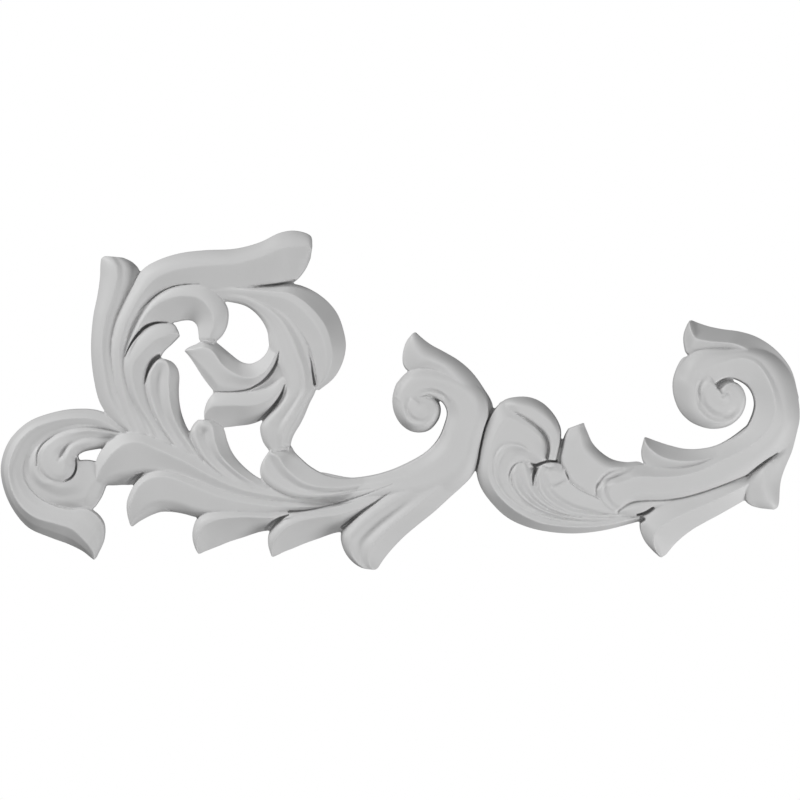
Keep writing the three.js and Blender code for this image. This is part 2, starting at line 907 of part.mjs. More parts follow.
// One leaf as a closed solid: its ribs' sections joined one to the next, with a flat back and two ends.
function loft({ name, ribs, folds }, stepsPerRib, pointsPerFold) {
  const edges = [0, 2].map(
    (i) => new THREE.CatmullRomCurve3(ribs.map((rib) => onSheet(rib[i], rib[i + 1])), false, "centripetal"),
  );
  const stations = (ribs.length - 1) * stepsPerRib;
  const positions = [];
  let around = 0;
  for (let s = 0; s <= stations; s++) {
    const share = s / stations;
    const [start, end] = edges.map((edge) => edge.getPoint(share));
    const width = start.distanceTo(end);
    const points = section(folds, width, share, pointsPerFold);
    around = points.length;
    for (const [distance, height] of points) {
      const p = start.clone().lerp(end, distance / width);
      positions.push(p.x, -height, p.z);
    }
  }
  const faces = [];
  for (let s = 0; s < stations; s++) {
    for (let i = 0; i < around; i++) {
      const [a, b] = [s * around + i, s * around + ((i + 1) % around)];
      faces.push([a, b, b + around], [a, b + around, a + around]);
    }
  }
  for (const [s, turned] of [
    [0, false],
    [stations, true],
  ]) {
    const ring = Array.from({ length: around }, (_, i) => s * around + i);
    const flat = section(folds, 1, s / stations, pointsPerFold).map((p) => new THREE.Vector2(...p));
    for (const face of THREE.ShapeUtils.triangulateShape(flat, [])) {
      const [a, b, c] = face.map((i) => ring[i]);
      faces.push(turned ? [a, c, b] : [a, b, c]);
    }
  }
  const geometry = new THREE.BufferGeometry();
  geometry.setAttribute("position", new THREE.Float32BufferAttribute(positions, 3));
  geometry.setIndex(faces.flat());
  return { name, geometry };
}

// One button as a closed solid: rings from the rim up to the centre, with a flat back.
function turn({ name, centre, rim, folds }, stepsPerRib, pointsPerFold) {
  const edge = new THREE.CatmullRomCurve3(rim.map((p) => onSheet(...p)), true, "centripetal");
  const middle = onSheet(...centre);
  const stations = rim.length * stepsPerRib;
  const positions = [];
  let rings = 0;
  for (let s = 0; s < stations; s++) {
    const start = edge.getPoint(s / stations);
    const width = start.distanceTo(middle);
    const points = section(folds, width, s / stations, pointsPerFold).slice(0, -2);
    rings = points.length;
    for (const [distance, height] of points) {
      const p = start.clone().lerp(middle, distance / width);
      positions.push(p.x, -height, p.z);
    }
  }
  const top = stations * rings;
  positions.push(middle.x, (-folds.at(-1)[1] * RELIEF) / 100, middle.z, middle.x, 0, middle.z);
  const faces = [];
  for (let s = 0; s < stations; s++) {
    const [from, to] = [s * rings, ((s + 1) % stations) * rings];
    for (let i = 0; i < rings - 1; i++) {
      faces.push([from + i, from + i + 1, to + i + 1], [from + i, to + i + 1, to + i]);
    }
    faces.push([from + rings - 1, top, to + rings - 1], [from, to, top + 1]);
  }
  const geometry = new THREE.BufferGeometry();
  geometry.setAttribute("position", new THREE.Float32BufferAttribute(positions, 3));
  geometry.setIndex(faces.flat());
  return { name, geometry };
}

const wasm = await Module();
wasm.setup();

function toSolid({ geometry }) {
  const merged = mergeVertices(geometry, 1e-4);
  const make = (triVerts) =>
    new wasm.Manifold(
      new wasm.Mesh({ numProp: 3, vertProperties: merged.attributes.position.array, triVerts }),
    );
  const triangles = new Uint32Array(merged.index.array);
  const solid = make(triangles);
  if (solid.volume() > 0) return solid;
  return make(triangles.slice().reverse());
}

drawLeftVolute();
drawTallFrond();
drawHookFrond();
drawFan();
drawMiddleVolute();
drawShell();
drawRightScroll();

function groundSolid([x, y, radius, share]) {
  const height = (share * RELIEF) / 100;
  const disc = new THREE.CylinderGeometry(radius * SQUARE, radius * SQUARE, height, GROUND_SIDES);
  const { x: middle, z: level } = onSheet(x, y);
  disc.translate(middle, -height / 2, level);
  disc.deleteAttribute("normal");
  disc.deleteAttribute("uv");
  return toSolid({ geometry: disc });
}

const STEPS_PER_RIB = 1;
const POINTS_PER_FOLD = 2;
const solids = [
  ...leaves.map((one) => toSolid(loft(one, STEPS_PER_RIB, POINTS_PER_FOLD))),
  ...buttons.map((one) => toSolid(turn(one, STEPS_PER_RIB, POINTS_PER_FOLD))),
];
const carved = [...solids, ...ground.map(groundSolid)].reduce((whole, one) => whole.add(one));

const mesh = carved.getMesh();
const geometry = new THREE.BufferGeometry();
geometry.setAttribute("position", new THREE.BufferAttribute(mesh.vertProperties, mesh.numProp));
geometry.setIndex(new THREE.BufferAttribute(mesh.triVerts, 1));
geometry.computeVertexNormals();

const primer = new THREE.MeshStandardMaterial({ color: 0xd2d2d0, roughness: 0.6, metalness: 0 });
const onlay = new THREE.Mesh(geometry, primer);
onlay.name = "scroll_onlay";

const part = new THREE.Group();
part.add(onlay);
export default part;
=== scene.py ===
"""Scroll onlay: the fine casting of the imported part, its primer finish and the studio around it.

Everything is in metres in the part's own frame: +Z up, the flat back in the plane Y = 0, the carving
towards -Y, and the origin at the middle of the back.
"""

import math

import bmesh
import bpy
import numpy as np
from bpy.props import FloatProperty, FloatVectorProperty, IntProperty, PointerProperty
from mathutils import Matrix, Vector


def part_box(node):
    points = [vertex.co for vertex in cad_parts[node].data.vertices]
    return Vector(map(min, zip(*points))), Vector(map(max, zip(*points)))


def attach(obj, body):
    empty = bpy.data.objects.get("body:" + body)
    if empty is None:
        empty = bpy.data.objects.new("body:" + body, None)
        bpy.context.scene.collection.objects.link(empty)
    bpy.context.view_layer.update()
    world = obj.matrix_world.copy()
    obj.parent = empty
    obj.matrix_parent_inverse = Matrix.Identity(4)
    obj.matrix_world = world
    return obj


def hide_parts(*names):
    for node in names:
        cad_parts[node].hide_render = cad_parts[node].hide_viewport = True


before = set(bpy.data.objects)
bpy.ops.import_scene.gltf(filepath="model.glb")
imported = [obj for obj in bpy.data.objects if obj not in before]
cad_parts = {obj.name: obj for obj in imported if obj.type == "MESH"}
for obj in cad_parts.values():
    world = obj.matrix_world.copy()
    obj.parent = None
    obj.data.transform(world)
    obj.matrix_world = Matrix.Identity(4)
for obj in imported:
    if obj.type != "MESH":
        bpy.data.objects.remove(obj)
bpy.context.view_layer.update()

bl_info = {
    "name": "Scroll Onlay",
    "version": (1, 0, 0),
    "blender": (4, 5, 0),
    "location": "3D View > Sidebar > Onlay",
    "description": "Carves a flat-backed acanthus scroll onlay and sets it in a plain studio",
    "category": "Add Mesh",
}

NODE = "scroll_onlay"
LOW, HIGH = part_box(NODE)

# The outline is drawn on a sheet of 800 by 800 squares, x to the right and y down.
# The sheet is as wide as the onlay with half a square to spare on each side, and its centre is the origin.
SHEET = 800
DRAWN_SQUARES = 799
SQUARE = (HIGH.x - LOW.x) / DRAWN_SQUARES

# How finely a leaf is divided between two ribs and between two folds, and a score between two points.
STEPS_PER_RIB = 6
POINTS_PER_FOLD = 8
PATH_STEPS = 12

# The most of a leaf's width that one leaning side may take.
SHARPEST_SHARE = 0.22

# How far the sides run on behind the back's plane, so that softening leaves the back's rim crisp.
FOOT = 0.003

# The number of sides of a round block of ground.
BLOCK_SIDES = 48

# The least share of the height that a score leaves standing.
LEAST_LEFT = 0.06

# How far each easing moves a point towards the middle of its neighbours.
EASE_SHARE = 0.5

# A point nearer the back's plane than this is put in it, and points nearer each other than this are one.
FLAT = 2e-5
SAME_POINT = 1e-6

# Faces that turn by more than this at an edge are shaded with a crisp edge.
EDGE_ANGLE = math.radians(60)

# The primer's clouds: how fine they are, and the darkest and lightest tones, against the primer's colour.
CLOUDS_PER_METRE = 28.0
CLOUD_TONES = (0.97, 1.03)

# Tones of the painted shade in the creases and the painted highlight on the ridges, and how pointed the
# surface is at each.
SHADE_AND_HIGHLIGHT_TONES = (0.82, 1.22)
CREASE = 0.44
RIDGE = 0.56

# How much the roughness varies, and how strong the orange peel is and how many times wider than deep.
ROUGHNESS_SPREAD = 0.1
PEEL_STRENGTH = 0.12
PEEL_WIDTHS = 12

# The same for the floor.
FLOOR_CLOUDS_PER_METRE = 1.5
FLOOR_TONES = (0.985, 1.015)
FLOOR_ROUGHNESS = 0.8

# The square soft lights, turned to the onlay's middle: name, power in watts, width and place.
LIGHTS = (
    ("Upper left light", 33.0, 0.9, (-1.47, -0.95, 1.3)),
    ("Lower right light", 15.2, 0.7, (1.35, -0.75, -0.76)),
    ("Front light", 15.8, 1.2, (0.0, -3.0, 0.0)),
)

# How many floor widths the camera sees.
SIGHT = 4


def length(name, description, default):
    return FloatProperty(name=name, description=description, default=default, precision=5, unit="LENGTH")


def share(name, description, default):
    return FloatProperty(
        name=name, description=description, default=default, subtype="FACTOR", min=0.0, max=1.0
    )


def number(name, description, default):
    return IntProperty(name=name, description=description, default=default, min=0)


def colour(name, description, default):
    return FloatVectorProperty(
        name=name, description=description, default=default, subtype="COLOR", min=0.0, max=1.0
    )


class OnlaySizes(bpy.types.PropertyGroup):
    """Sizes of the casting that can be changed by themselves."""

    relief: length("Relief", "From the flat back to the highest point of the carving", HIGH.y - LOW.y)
    draft: share("Draft", "How far a side leans in for each metre that it rises", 0.06)
    grain: length("Grain", "Size of the smallest form that the mould keeps", 0.0005)
    softening: number("Softening", "How many times the ridges are eased before the scores are cut", 4)
    easing: number("Easing", "How many times everything is eased once the scores are cut", 2)
    faces: number("Faces", "The most triangles in the finished casting", 190000)


class PrimerSettings(bpy.types.PropertyGroup):
    """Colour and surface of the factory primer."""

    colour: colour("Primer", "Colour of the primer", (0.62, 0.62, 0.62))
    roughness: share("Roughness", "Mean roughness of the primer", 0.55)
    grit: length("Grit", "Width of the fine orange peel that a sprayed primer leaves", 0.0012)


class StudioSettings(bpy.types.PropertyGroup):
    """The floor, the surroundings and the camera."""

    floor_colour: colour("Floor", "Colour of the floor", (0.85, 0.85, 0.85))
    floor_drop: length("Floor drop", "How far the floor lies below the onlay's middle", 1.6)
    floor_width: length("Floor width", "Side of the square floor", 5.0)
    surroundings: share("Surroundings", "Light from the surroundings, which the camera sees as white", 0.12)
    camera_distance: length("Camera distance", "From the camera to the onlay's back", 3.2)


# A leaf is drawn by ribs, (x, y, x, y), each from the leaf's first edge to its second, from root to tip.
# Its folds are (share of the rib, height in hundredths of the relief, how the surface gets there).
# A share or a height may be a list, which is spread evenly from root to tip.
leaves = []


def leaf(name, ribs, folds):
    leaves.append((name, ribs, folds))


# A button is the same round a centre: its ribs run from the points of its rim to the centre.
buttons = []


def button(name, centre, rim, folds):
    buttons.append((name, centre, rim, folds))


# A score is a line engraved along a path on the finished leaves, by half its width in squares and by
# its depth in hundredths of the relief. Either may be a list, which is spread evenly along the path.
scores = []


def score(path, half_width, depth):
    scores.append((path, half_width, depth))


# How steep each kind of surface is at its lower and at its upper end, against a straight slope.
SLOPES = {"straight": (1, 1), "round": (2.2, 0.1), "soft": (0.2, 0.2)}


# The left volute.
leaf("outer band", [
    (134, 434, 124, 440), (103, 411.5, 101, 430), (77, 408.5, 79, 428), (50, 413, 60, 431),
    (27, 422.5, 43, 439), (9, 441, 31, 452), (1, 465, 25, 467), (3, 486, 28, 481), (12, 508, 38, 494),
    (28, 527.5, 53, 503), (50, 537.5, 72, 508), (69, 544.5, 90, 508), (83, 551.5, 104, 521),
    (90, 557, 105, 538), (94, 560, 97, 557),
], [
    (0, [34, 52, 48, 30, 2, 0, 2, 16]),
    ([0.25, 0.24, 0.2, 0.2, 0.17, 0.22, 0.12, 0.15], [44, 67, 71, 72, 63, 61, 54, 42], "straight"),
    ([0.5, 0.48, 0.4, 0.42, 0.36, 0.48, 0.28, 0.3], [52, 76, 83, 90, 97, 97, 82, 52], "straight"),
    ([0.62, 0.62, 0.62, 0.62, 0.7, 0.7, 0.62], [50, 72, 76, 80, 88, 86, 74, 46], "soft"),
    (1, [39, 60, 66, 68, 74, 78, 62, 34], "soft"),
])
leaf("second band", [
    (130, 432.5, 126, 440), (105, 426, 104, 435), (90, 424, 90, 434), (75, 424.5, 79, 434),
    (60, 427.5, 67, 440), (45, 433.5, 56, 447), (33, 441.5, 47, 453), (25, 451, 44, 460),
    (21, 463, 43.5, 467), (22, 478, 47.5, 474), (28, 490, 54, 478), (38, 500, 61, 477),
    (52, 507, 67, 478), (72, 509.5, 72, 475), (92, 509.5, 74, 469), (101, 499, 75, 462),
    (106, 487.5, 86, 459.5), (109, 479, 100, 462),
], [
    (0, [34, 62, 66, 66, 60, 54, 46, 34, 40]),
    ([0.35, 0.35, 0.35, 0.35, 0.4], [44, 64, 66, 68, 62, 60, 58, 62, 52], "soft"),
    ([0.66, 0.66, 0.68, 0.75, 0.75], [46, 70, 76, 78, 78, 76, 72, 66, 54], "soft"),
    (1, [36, 56, 58, 60, 66, 70, 72, 66, 50], "round"),
])
leaf("curl", [
    (122, 433, 118, 441), (108, 430, 106, 439), (96, 428, 96, 438), (84, 428, 86, 439),
    (72, 429.5, 79, 444), (62, 432.5, 73, 449), (52, 438, 69, 453), (44, 444.5, 66, 457),
    (39, 453, 67, 460), (38.5, 463, 68, 463), (43, 474, 68, 465.5), (52, 481, 67, 467),
    (63, 482.5, 65.5, 467), (71, 479.5, 64.5, 465.5), (76, 474, 64.5, 463), (77.5, 467, 65, 460.5),
    (77, 458, 66, 457),
], [
    (0, [39, 66, 70, 71, 70, 68, 62, 52, 44]),
    (0.2, [46, 74, 78, 82, 82, 82, 80, 76, 70], "round"),
    ([0.5, 0.5, 0.5, 0.56, 0.56], [42, 66, 74, 84, 86, 86, 86, 84, 80], "soft"),
    (1, [34, 62, 70, 70, 84, 88, 88, 88, 84], "soft"),
])
leaf("curl leaf", [
    (118, 437, 112, 446), (104, 437, 105, 448), (92, 437, 93, 450), (82, 438.5, 84, 452),
    (74, 441.5, 79, 455), (68, 446.5, 77, 458), (64, 452.5, 76, 463), (61, 459, 74, 468),
    (60, 464, 69, 471),
], [
    (0, [34, 68, 70, 72, 74]),
    (0.34, [45, 72, 82, 90, 84], "round"),
    (1, [26, 30, 42, 66, 74], "round"),
])

# The tall frond.
leaf("left leaf", [
    (128, 431, 142, 436), (110, 417.5, 133, 415), (100, 403, 124, 396), (94, 380, 119, 372),
    (91, 350, 116, 345), (93, 318, 122, 318), (97.5, 295, 132, 296), (100, 277, 139, 280),
    (100.5, 264, 139.5, 270.5), (101.5, 258.5, 133, 262.5), (105, 256.3, 124, 257.8),
], [
    (0, [46, 46, 44, 42, 48, 52]),
    ([0.5, 0.5, 0.5, 0.48, 0.42, 0.35], [54, 68, 79, 84, 80, 60], "round"),
    ([0.66, 0.64, 0.62, 0.62, 0.6, 0.6], [53, 63, 72, 76, 66, 50], "soft"),
    (1, [50, 52, 44, 34, 6, 24], "round"),
])
leaf("top leaf", [
    (138, 442, 154, 447), (122, 414, 145, 418), (115.5, 392, 137, 397), (111.5, 368, 131, 373),
    (110.5, 345, 130, 350), (115, 323, 137, 329), (123, 305, 147, 311), (133, 286, 159, 297),
    (142, 270, 174, 290), (158, 260, 190, 287), (180, 253, 206, 289), (205, 250, 224, 290),
    (235, 248.5, 245, 289.5), (260, 242, 265, 286), (280, 232.5, 282, 284.5), (296, 230.5, 294.5, 282),
    (311, 236, 305, 270.5), (312.5, 246, 310.5, 259),
], [
    (0, [50, 57, 61, 61, 61, 61, 50]),
    ([0.5, 0.5, 0.55, 0.5, 0.45, 0.4, 0.35, 0.32, 0.32], [56, 72, 84, 90, 92, 94, 91, 73], "round"),
    (1, [50, 50, 57, 63, 66, 64, 54, 43], "straight"),
])
leaf("hooked leaf", [
    (152, 446, 164, 450), (141, 420, 155, 424), (132, 398, 147, 400), (126, 376, 141, 378),
    (125, 356, 140, 356), (131, 336, 147, 340), (141, 315, 156, 329), (152, 299.5, 166, 324.5),
    (167, 289.5, 175.5, 322.5), (184, 284.5, 186, 320.5), (204, 285, 193, 321.5), (219, 295, 197, 326),
    (228, 308, 198, 331), (228, 324, 198.5, 335.5), (223, 335, 199, 339.5), (216, 342, 201, 342),
], [
    (0, [50, 56, 64, 66, 66, 62, 54, 48]),
    ([0.4, 0.35, 0.3, 0.25, 0.3, 0.4, 0.5, 0.55], [55, 69, 81, 86, 88, 84, 70], "round"),
    (1, [48, 50, 52, 47, 32, 42, 48], "straight"),
])
leaf("short leaf", [
    (160, 448, 180, 456), (147, 424, 168, 432), (135, 404, 158, 410), (126, 382, 153, 390),
    (123.5, 361, 153, 375), (130, 347, 156, 366), (138, 335, 160.5, 358), (149, 326, 165, 351),
    (162, 322.5, 171, 345.5), (174, 324, 177, 339.5), (178.5, 331, 180, 336.5),
], [
    (0, [50, 58, 66, 68, 61, 50]),
    ([0.4, 0.3, 0.35, 0.5, 0.6, 0.65], [56, 72, 82, 85, 80, 59], "round"),
    (1, [48, 48, 51, 45, 38, 46], "straight"),
])
leaf("inner drop", [
    (190, 468, 214, 469), (174, 447, 199, 446), (162, 430, 187.5, 428), (153.5, 414, 182, 414),
    (148.5, 400, 179.5, 401), (146, 388, 179, 388), (146.5, 376, 179.5, 376), (151, 367, 177.5, 368),
    (156, 361, 172.5, 362), (161, 358, 167, 359.5),
], [
    (0, [46, 46, 50, 52, 54, 52, 48, 44, 46, 45]),
    (0.12, [53, 60, 67, 72, 74, 74, 74, 74, 72, 58], "round"),
    (0.4, [49, 55, 58, 60, 60, 59, 61, 68, 74, 60], "soft"),
    (0.72, [53, 64, 71, 77, 79, 79, 78, 76, 72, 58], "soft"),
    (1, [44, 42, 34, 22, 14, 12, 12, 18, 34, 40], "straight"),
])

# The frond with the two hooks.
leaf("outer leaf", [
    (204, 285, 202, 296), (235, 284, 232, 300), (255, 285, 252, 303), (275, 284.5, 269, 308),
    (293, 283.5, 283, 314), (309, 288.5, 294, 324), (325, 299, 302, 335), (337, 313, 308, 345),
    (343.5, 330, 312, 354), (346, 346, 314, 363), (342.5, 363, 315.5, 372), (334, 378, 316, 382),
    (319, 390.5, 313, 388),
], [
    (0, [36, 40, 26, 6, 8, 18, 36]),
    ([0.3, 0.3, 0.34, 0.4, 0.42, 0.45, 0.55], [63, 76, 84, 86, 84, 74, 52], "straight"),
    ([0.5, 0.5, 0.55, 0.6, 0.62, 0.66, 0.75], [62, 74, 84, 90, 88, 76, 52], "soft"),
    (1, [52, 62, 66, 68, 68, 60, 48], "straight"),
])
leaf("stem leaf", [
    (212, 288, 208, 300), (232, 290, 228, 302), (252, 295, 246, 306.5), (272, 303, 259, 317),
    (289, 314, 267, 331), (303, 330, 269, 345), (312, 350, 274, 360), (317, 369, 281, 374),
    (316, 390, 285, 391), (309.5, 404, 277.5, 405), (305, 415, 268, 415), (300, 425, 260.5, 425),
    (295, 433, 260.5, 434), (292, 440, 263.5, 443), (290.5, 447, 270.5, 452.5),
], [
    (0, [39, 52, 66, 58, 40, 36, 38, 43]),
    (0.16, [50, 62, 66, 62, 62, 64, 60, 52], "round"),
    (0.36, [56, 70, 78, 82, 82, 80, 74, 58], "soft"),
    (0.54, [55, 68, 74, 78, 74, 70, 66, 56], "soft"),
    (0.78, [52, 62, 68, 74, 76, 74, 68, 56], "soft"),
    (1, [40, 46, 50, 56, 58, 52, 40, 43], "round"),
])
leaf("upper finger", [
    (271, 326, 292, 338), (269.5, 343, 285, 355), (266, 353, 281, 368), (259, 360, 274, 381),
    (250, 363.5, 262, 391), (241, 361.5, 249, 395), (232, 355, 236, 397), (223, 347.5, 220, 397),
    (214, 341, 211, 388), (204, 340, 203, 377.5), (196, 344, 196, 366.5), (189, 347, 190, 357.5),
    (184.5, 350, 185.5, 352),
], [
    (0, [41, 50, 34, 14, 16, 44, 45]),
    ([0.5, 0.5, 0.5, 0.43, 0.22, 0.2, 0.3], [50, 76, 84, 84, 80, 68, 50], "straight"),
    ([0.75, 0.75, 0.75, 0.75, 0.66, 0.6], [45, 60, 66, 70, 72, 62, 46], "soft"),
    (1, [46, 58, 58, 56, 52, 48, 41], "soft"),
])
leaf("lower finger", [
    (294, 364, 302, 386), (285, 372, 292, 390), (277, 380, 286, 398), (269, 386, 278, 408),
    (258, 389.5, 266, 418), (246, 391.5, 252, 424), (234, 392, 238, 426), (222, 392.5, 224, 427.5),
    (213, 394, 214, 426.5), (207.5, 401, 207.5, 424), (204.5, 411, 205, 421.5),
], [
    (0, [45, 62, 68, 68, 58, 48]),
    ([0.5, 0.5, 0.48, 0.38, 0.38, 0.5], [52, 77, 84, 84, 76, 57], "round"),
    (1, [52, 56, 34, 14, 26, 42], "straight"),
])

# The fan below them.
leaf("first leaf", [
    (330, 500, 330, 508), (282, 490, 282, 504), (245, 480, 246, 500), (222, 470, 224, 495),
    (203, 460, 205, 489), (185, 450, 188, 483), (168, 442.5, 170, 479), (153, 436.5, 154, 479),
    (140, 432.5, 141, 482), (127, 432, 131, 485), (115, 437, 123, 485), (104.5, 446, 115, 485.5),
    (98, 456, 108, 485.5), (95.5, 470, 102, 485), (96, 479, 98, 483),
], [
    (0, [34, 52, 58, 60, 60, 58, 54, 46]),
    ([0.5, 0.5, 0.4, 0.29, 0.17, 0.25, 0.4, 0.5], [41, 66, 78, 85, 88, 84, 72, 56], "straight"),
    ([0.75, 0.75, 0.75, 0.72, 0.68, 0.66, 0.7, 0.8], [34, 56, 62, 65, 66, 64, 58, 50], "straight"),
    (1, [30, 48, 52, 46, 14, 10, 14, 34], "round"),
])
leaf("second leaf", [
    (340, 503, 342, 510), (305, 502.5, 306, 513), (272, 500, 273, 516), (245, 495.5, 247, 518),
    (222, 489.5, 226, 519), (203, 482, 210, 519), (187, 476, 197, 517.5), (173, 471.5, 184, 514),
    (160, 470, 172, 512), (148, 473, 161, 512), (138, 479.5, 152, 515), (131, 490, 145, 518.5),
    (127, 502, 139, 522), (127.5, 513, 135, 525), (130, 523, 132.5, 527),
], [
    (0, [34, 57, 66, 70, 64, 50, 46]),
    ([0.36, 0.3, 0.2, 0.12, 0.12, 0.22, 0.35], [41, 68, 80, 86, 85, 74, 55], "straight"),
    ([0.75, 0.72, 0.7, 0.68, 0.66, 0.7, 0.8], [34, 61, 68, 72, 73, 62, 50], "straight"),
    (1, [32, 40, 18, 3, 6, 16, 34], "round"),
])
leaf("third leaf", [
    (365, 497, 376, 503), (335, 505, 345, 515), (310, 509.5, 322, 521), (285, 511.5, 300, 526),
    (260, 511.5, 278, 530), (240, 510.5, 262, 531.5), (222, 510, 243, 537.5), (208, 512, 229, 542),
    (198, 517, 218, 546.5), (193.5, 526, 209, 550), (192.5, 537, 204, 552), (195, 547, 201, 553.5),
    (198, 553, 200, 554),
], [
    (0, [36, 57, 62, 62, 46, 40]),
    ([0.4, 0.36, 0.3, 0.26, 0.3, 0.4, 0.5], [43, 70, 80, 84, 80, 66, 50], "round"),
    (1, [32, 26, 14, 10, 14, 24, 36], "straight"),
])
leaf("fourth leaf", [
    (404, 478, 412, 488), (388, 487, 398, 497), (370, 494.5, 384, 508), (350, 501.5, 368, 520),
    (330, 506.5, 352, 530), (310, 510, 335, 533), (295, 512.5, 319, 538.5), (283, 517.5, 305, 543.5),
    (274, 525, 293, 548.5), (268.5, 534, 284, 552), (268, 544, 278, 555), (271, 555, 273.5, 557),
], [
    (0, [39, 57, 62, 62, 46, 40]),
    ([0.5, 0.42, 0.34, 0.28, 0.3, 0.4, 0.5], [45, 70, 80, 84, 80, 66, 50], "round"),
    (1, [34, 28, 14, 10, 14, 24, 36], "straight"),
])
leaf("fifth leaf", [
    (444, 448, 478, 458), (422, 469, 467, 481), (404, 483, 450, 497.5), (388, 493.5, 433, 513),
    (374, 502.5, 418, 525), (361, 511.5, 405, 536), (350, 521, 395, 546), (341, 533, 388, 554),
    (342.5, 547, 383, 560.5), (350, 559.5, 380, 565), (361, 567.5, 378, 568), (372, 569.3, 376, 569.5),
], [
    (0, [50, 62, 64, 52, 24, 10, 10]),
    (0.2, [64, 78, 85, 86, 82, 70, 50], "round"),
    (0.42, [64, 76, 70, 66, 66, 62, 50], "soft"),
    ([0.6, 0.64, 0.66, 0.68], [68, 82, 84, 84, 80, 68, 50], "soft"),
    (1, [50, 44, 34, 30, 34], "straight"),
])
leaf("left drop", [
    (272, 500, 292, 498), (245, 491, 268, 483), (227, 480.5, 253, 474), (212, 469, 242, 464.5),
    (200.5, 457, 233, 453.5), (193.5, 445, 227.5, 441), (190, 433, 224.5, 430), (192.5, 425.5, 222, 426),
    (198, 419.5, 214, 421),
], [
    (0, [34, 50, 52, 48, 46]),
    (0.14, [40, 64, 72, 72, 64], "round"),
    (0.4, [38, 58, 60, 60, 60, 60, 58, 72, 68], "soft"),
    ([0.66, 0.66, 0.64, 0.7, 0.7], [43, 70, 77, 75, 64], "soft"),
    (1, [30, 34, 20, 30, 43], "straight"),
])
leaf("right drop", [
    (396, 486, 394, 470), (362, 492, 362, 476.5), (335, 496.5, 342, 477.5), (312, 498.5, 325, 474),
    (293, 497, 311, 466.5), (279, 492, 301, 458), (268, 485, 295, 452), (260.5, 476, 290.5, 445.5),
    (260.5, 466, 283, 447), (264.5, 457.5, 276, 449), (269, 451, 273, 449),
], [
    (0, [39, 57, 57, 52, 48]),
    (0.14, [43, 68, 68, 66, 55], "round"),
    ([0.3, 0.3, 0.38, 0.4], [41, 61, 59, 59, 57], "soft"),
    ([0.5, 0.5, 0.62, 0.6], [45, 73, 76, 76, 62], "soft"),
    (1, [34, 46, 34, 14, 34], "straight"),
])

# The middle volute.
leaf("stem", [
    (318, 508, 322, 472), (355, 506, 355, 477.5), (395, 502, 385, 471.5), (425, 502, 408, 462),
    (455, 491.5, 427, 450.5), (474, 473, 438, 438), (482, 445, 444, 424), (489, 420, 446.5, 412),
    (487, 400, 442, 402.5), (475, 383, 436, 399.5), (455, 371, 428, 398), (432, 366, 420, 399),
    (412, 369, 414, 403), (399, 380, 412, 408), (392.5, 395, 413, 413),
], [
    (0, [23, 48, 48, 54, 52, 50, 50, 40]),
    ([0.5, 0.45, 0.4, 0.34, 0.3, 0.4, 0.36, 0.4], [34, 76, 84, 90, 92, 91, 87, 82], "round"),
    ([0.7, 0.7, 0.7, 0.66, 0.6], [30, 70, 78, 84, 88, 86, 85, 82], "soft"),
    (1, [23, 50, 56, 62, 70, 76, 81, 84], "soft"),
])
button("eye", (419, 409), [
    (398.5, 381), (392.5, 396), (393.5, 411), (401, 424.5), (413, 432), (428, 431), (438.5, 420),
    (441, 408), (437, 399), (429, 396), (419, 394), (408, 385),
], [
    (0, [50, 40, 22, 12, 10, 12, 16, 20, 50, 66, 72, 66]),
    (
        [0.4, 0.42, 0.42, 0.4, 0.38, 0.36, 0.32, 0.3, 0.3, 0.3, 0.3, 0.4],
        [82, 84, 85, 84, 84, 82, 80, 80, 80, 80, 80, 80],
        "round",
    ),
    (0.54, [81, 80, 80, 80, 82, 84, 86, 86, 86, 84, 84, 83], "soft"),
    (0.72, 91, "soft"),
    (1, 94, "soft"),
])
leaf("spur", [
    (489, 424, 470, 428), (493, 406, 466, 404), (483, 387, 456, 388), (472, 372, 445, 378),
    (459, 360.5, 434, 370), (444, 351.5, 421, 368.5), (431, 344.5, 409, 371.5), (423, 338.5, 403.5, 366),
    (418, 334, 402.5, 355), (415.5, 332, 406, 342), (414, 332.5, 411.5, 334.5),
], [
    (0, [10, 8, 10, 16, 34, 40]),
    ([0.75, 0.72, 0.62, 0.44, 0.34, 0.4], [66, 86, 84, 74, 60, 46], "round"),
    (1, [60, 84, 74, 54, 48, 44], "soft"),
])

# The shell.
leaf("body", [
    (555, 463, 538, 468), (551, 445, 533, 468), (543, 429, 527, 468), (526, 414, 521, 468),
    (503, 402, 518, 470), (491, 414, 517, 473), (483, 431, 516, 477), (478.5, 451, 516, 482),
    (476, 470, 519, 488), (480.5, 487, 525, 496), (492, 503.5, 532, 502), (507, 517.5, 542, 508),
    (527, 527, 553, 515.5), (550, 532, 571, 518.5), (575, 533.5, 593, 519.5), (603, 530.5, 614, 518),
    (640, 521.3, 638, 513),
], [
    (0, [40, 54, 56, 60, 50, 14, 10, 14, 22]),
    (
        [0.2, 0.2, 0.22, 0.26, 0.27, 0.34, 0.45, 0.5, 0.5],
        [60, 72, 78, 82, 83, 80, 76, 68, 50],
        "straight",
    ),
    ([0.6, 0.6, 0.6, 0.6, 0.6, 0.66, 0.72, 0.75, 0.8], [76, 80, 80, 80, 76, 72, 68, 60, 45], "soft"),
    (1, [56, 62, 66, 66, 64, 62, 58, 52, 36], "soft"),
])
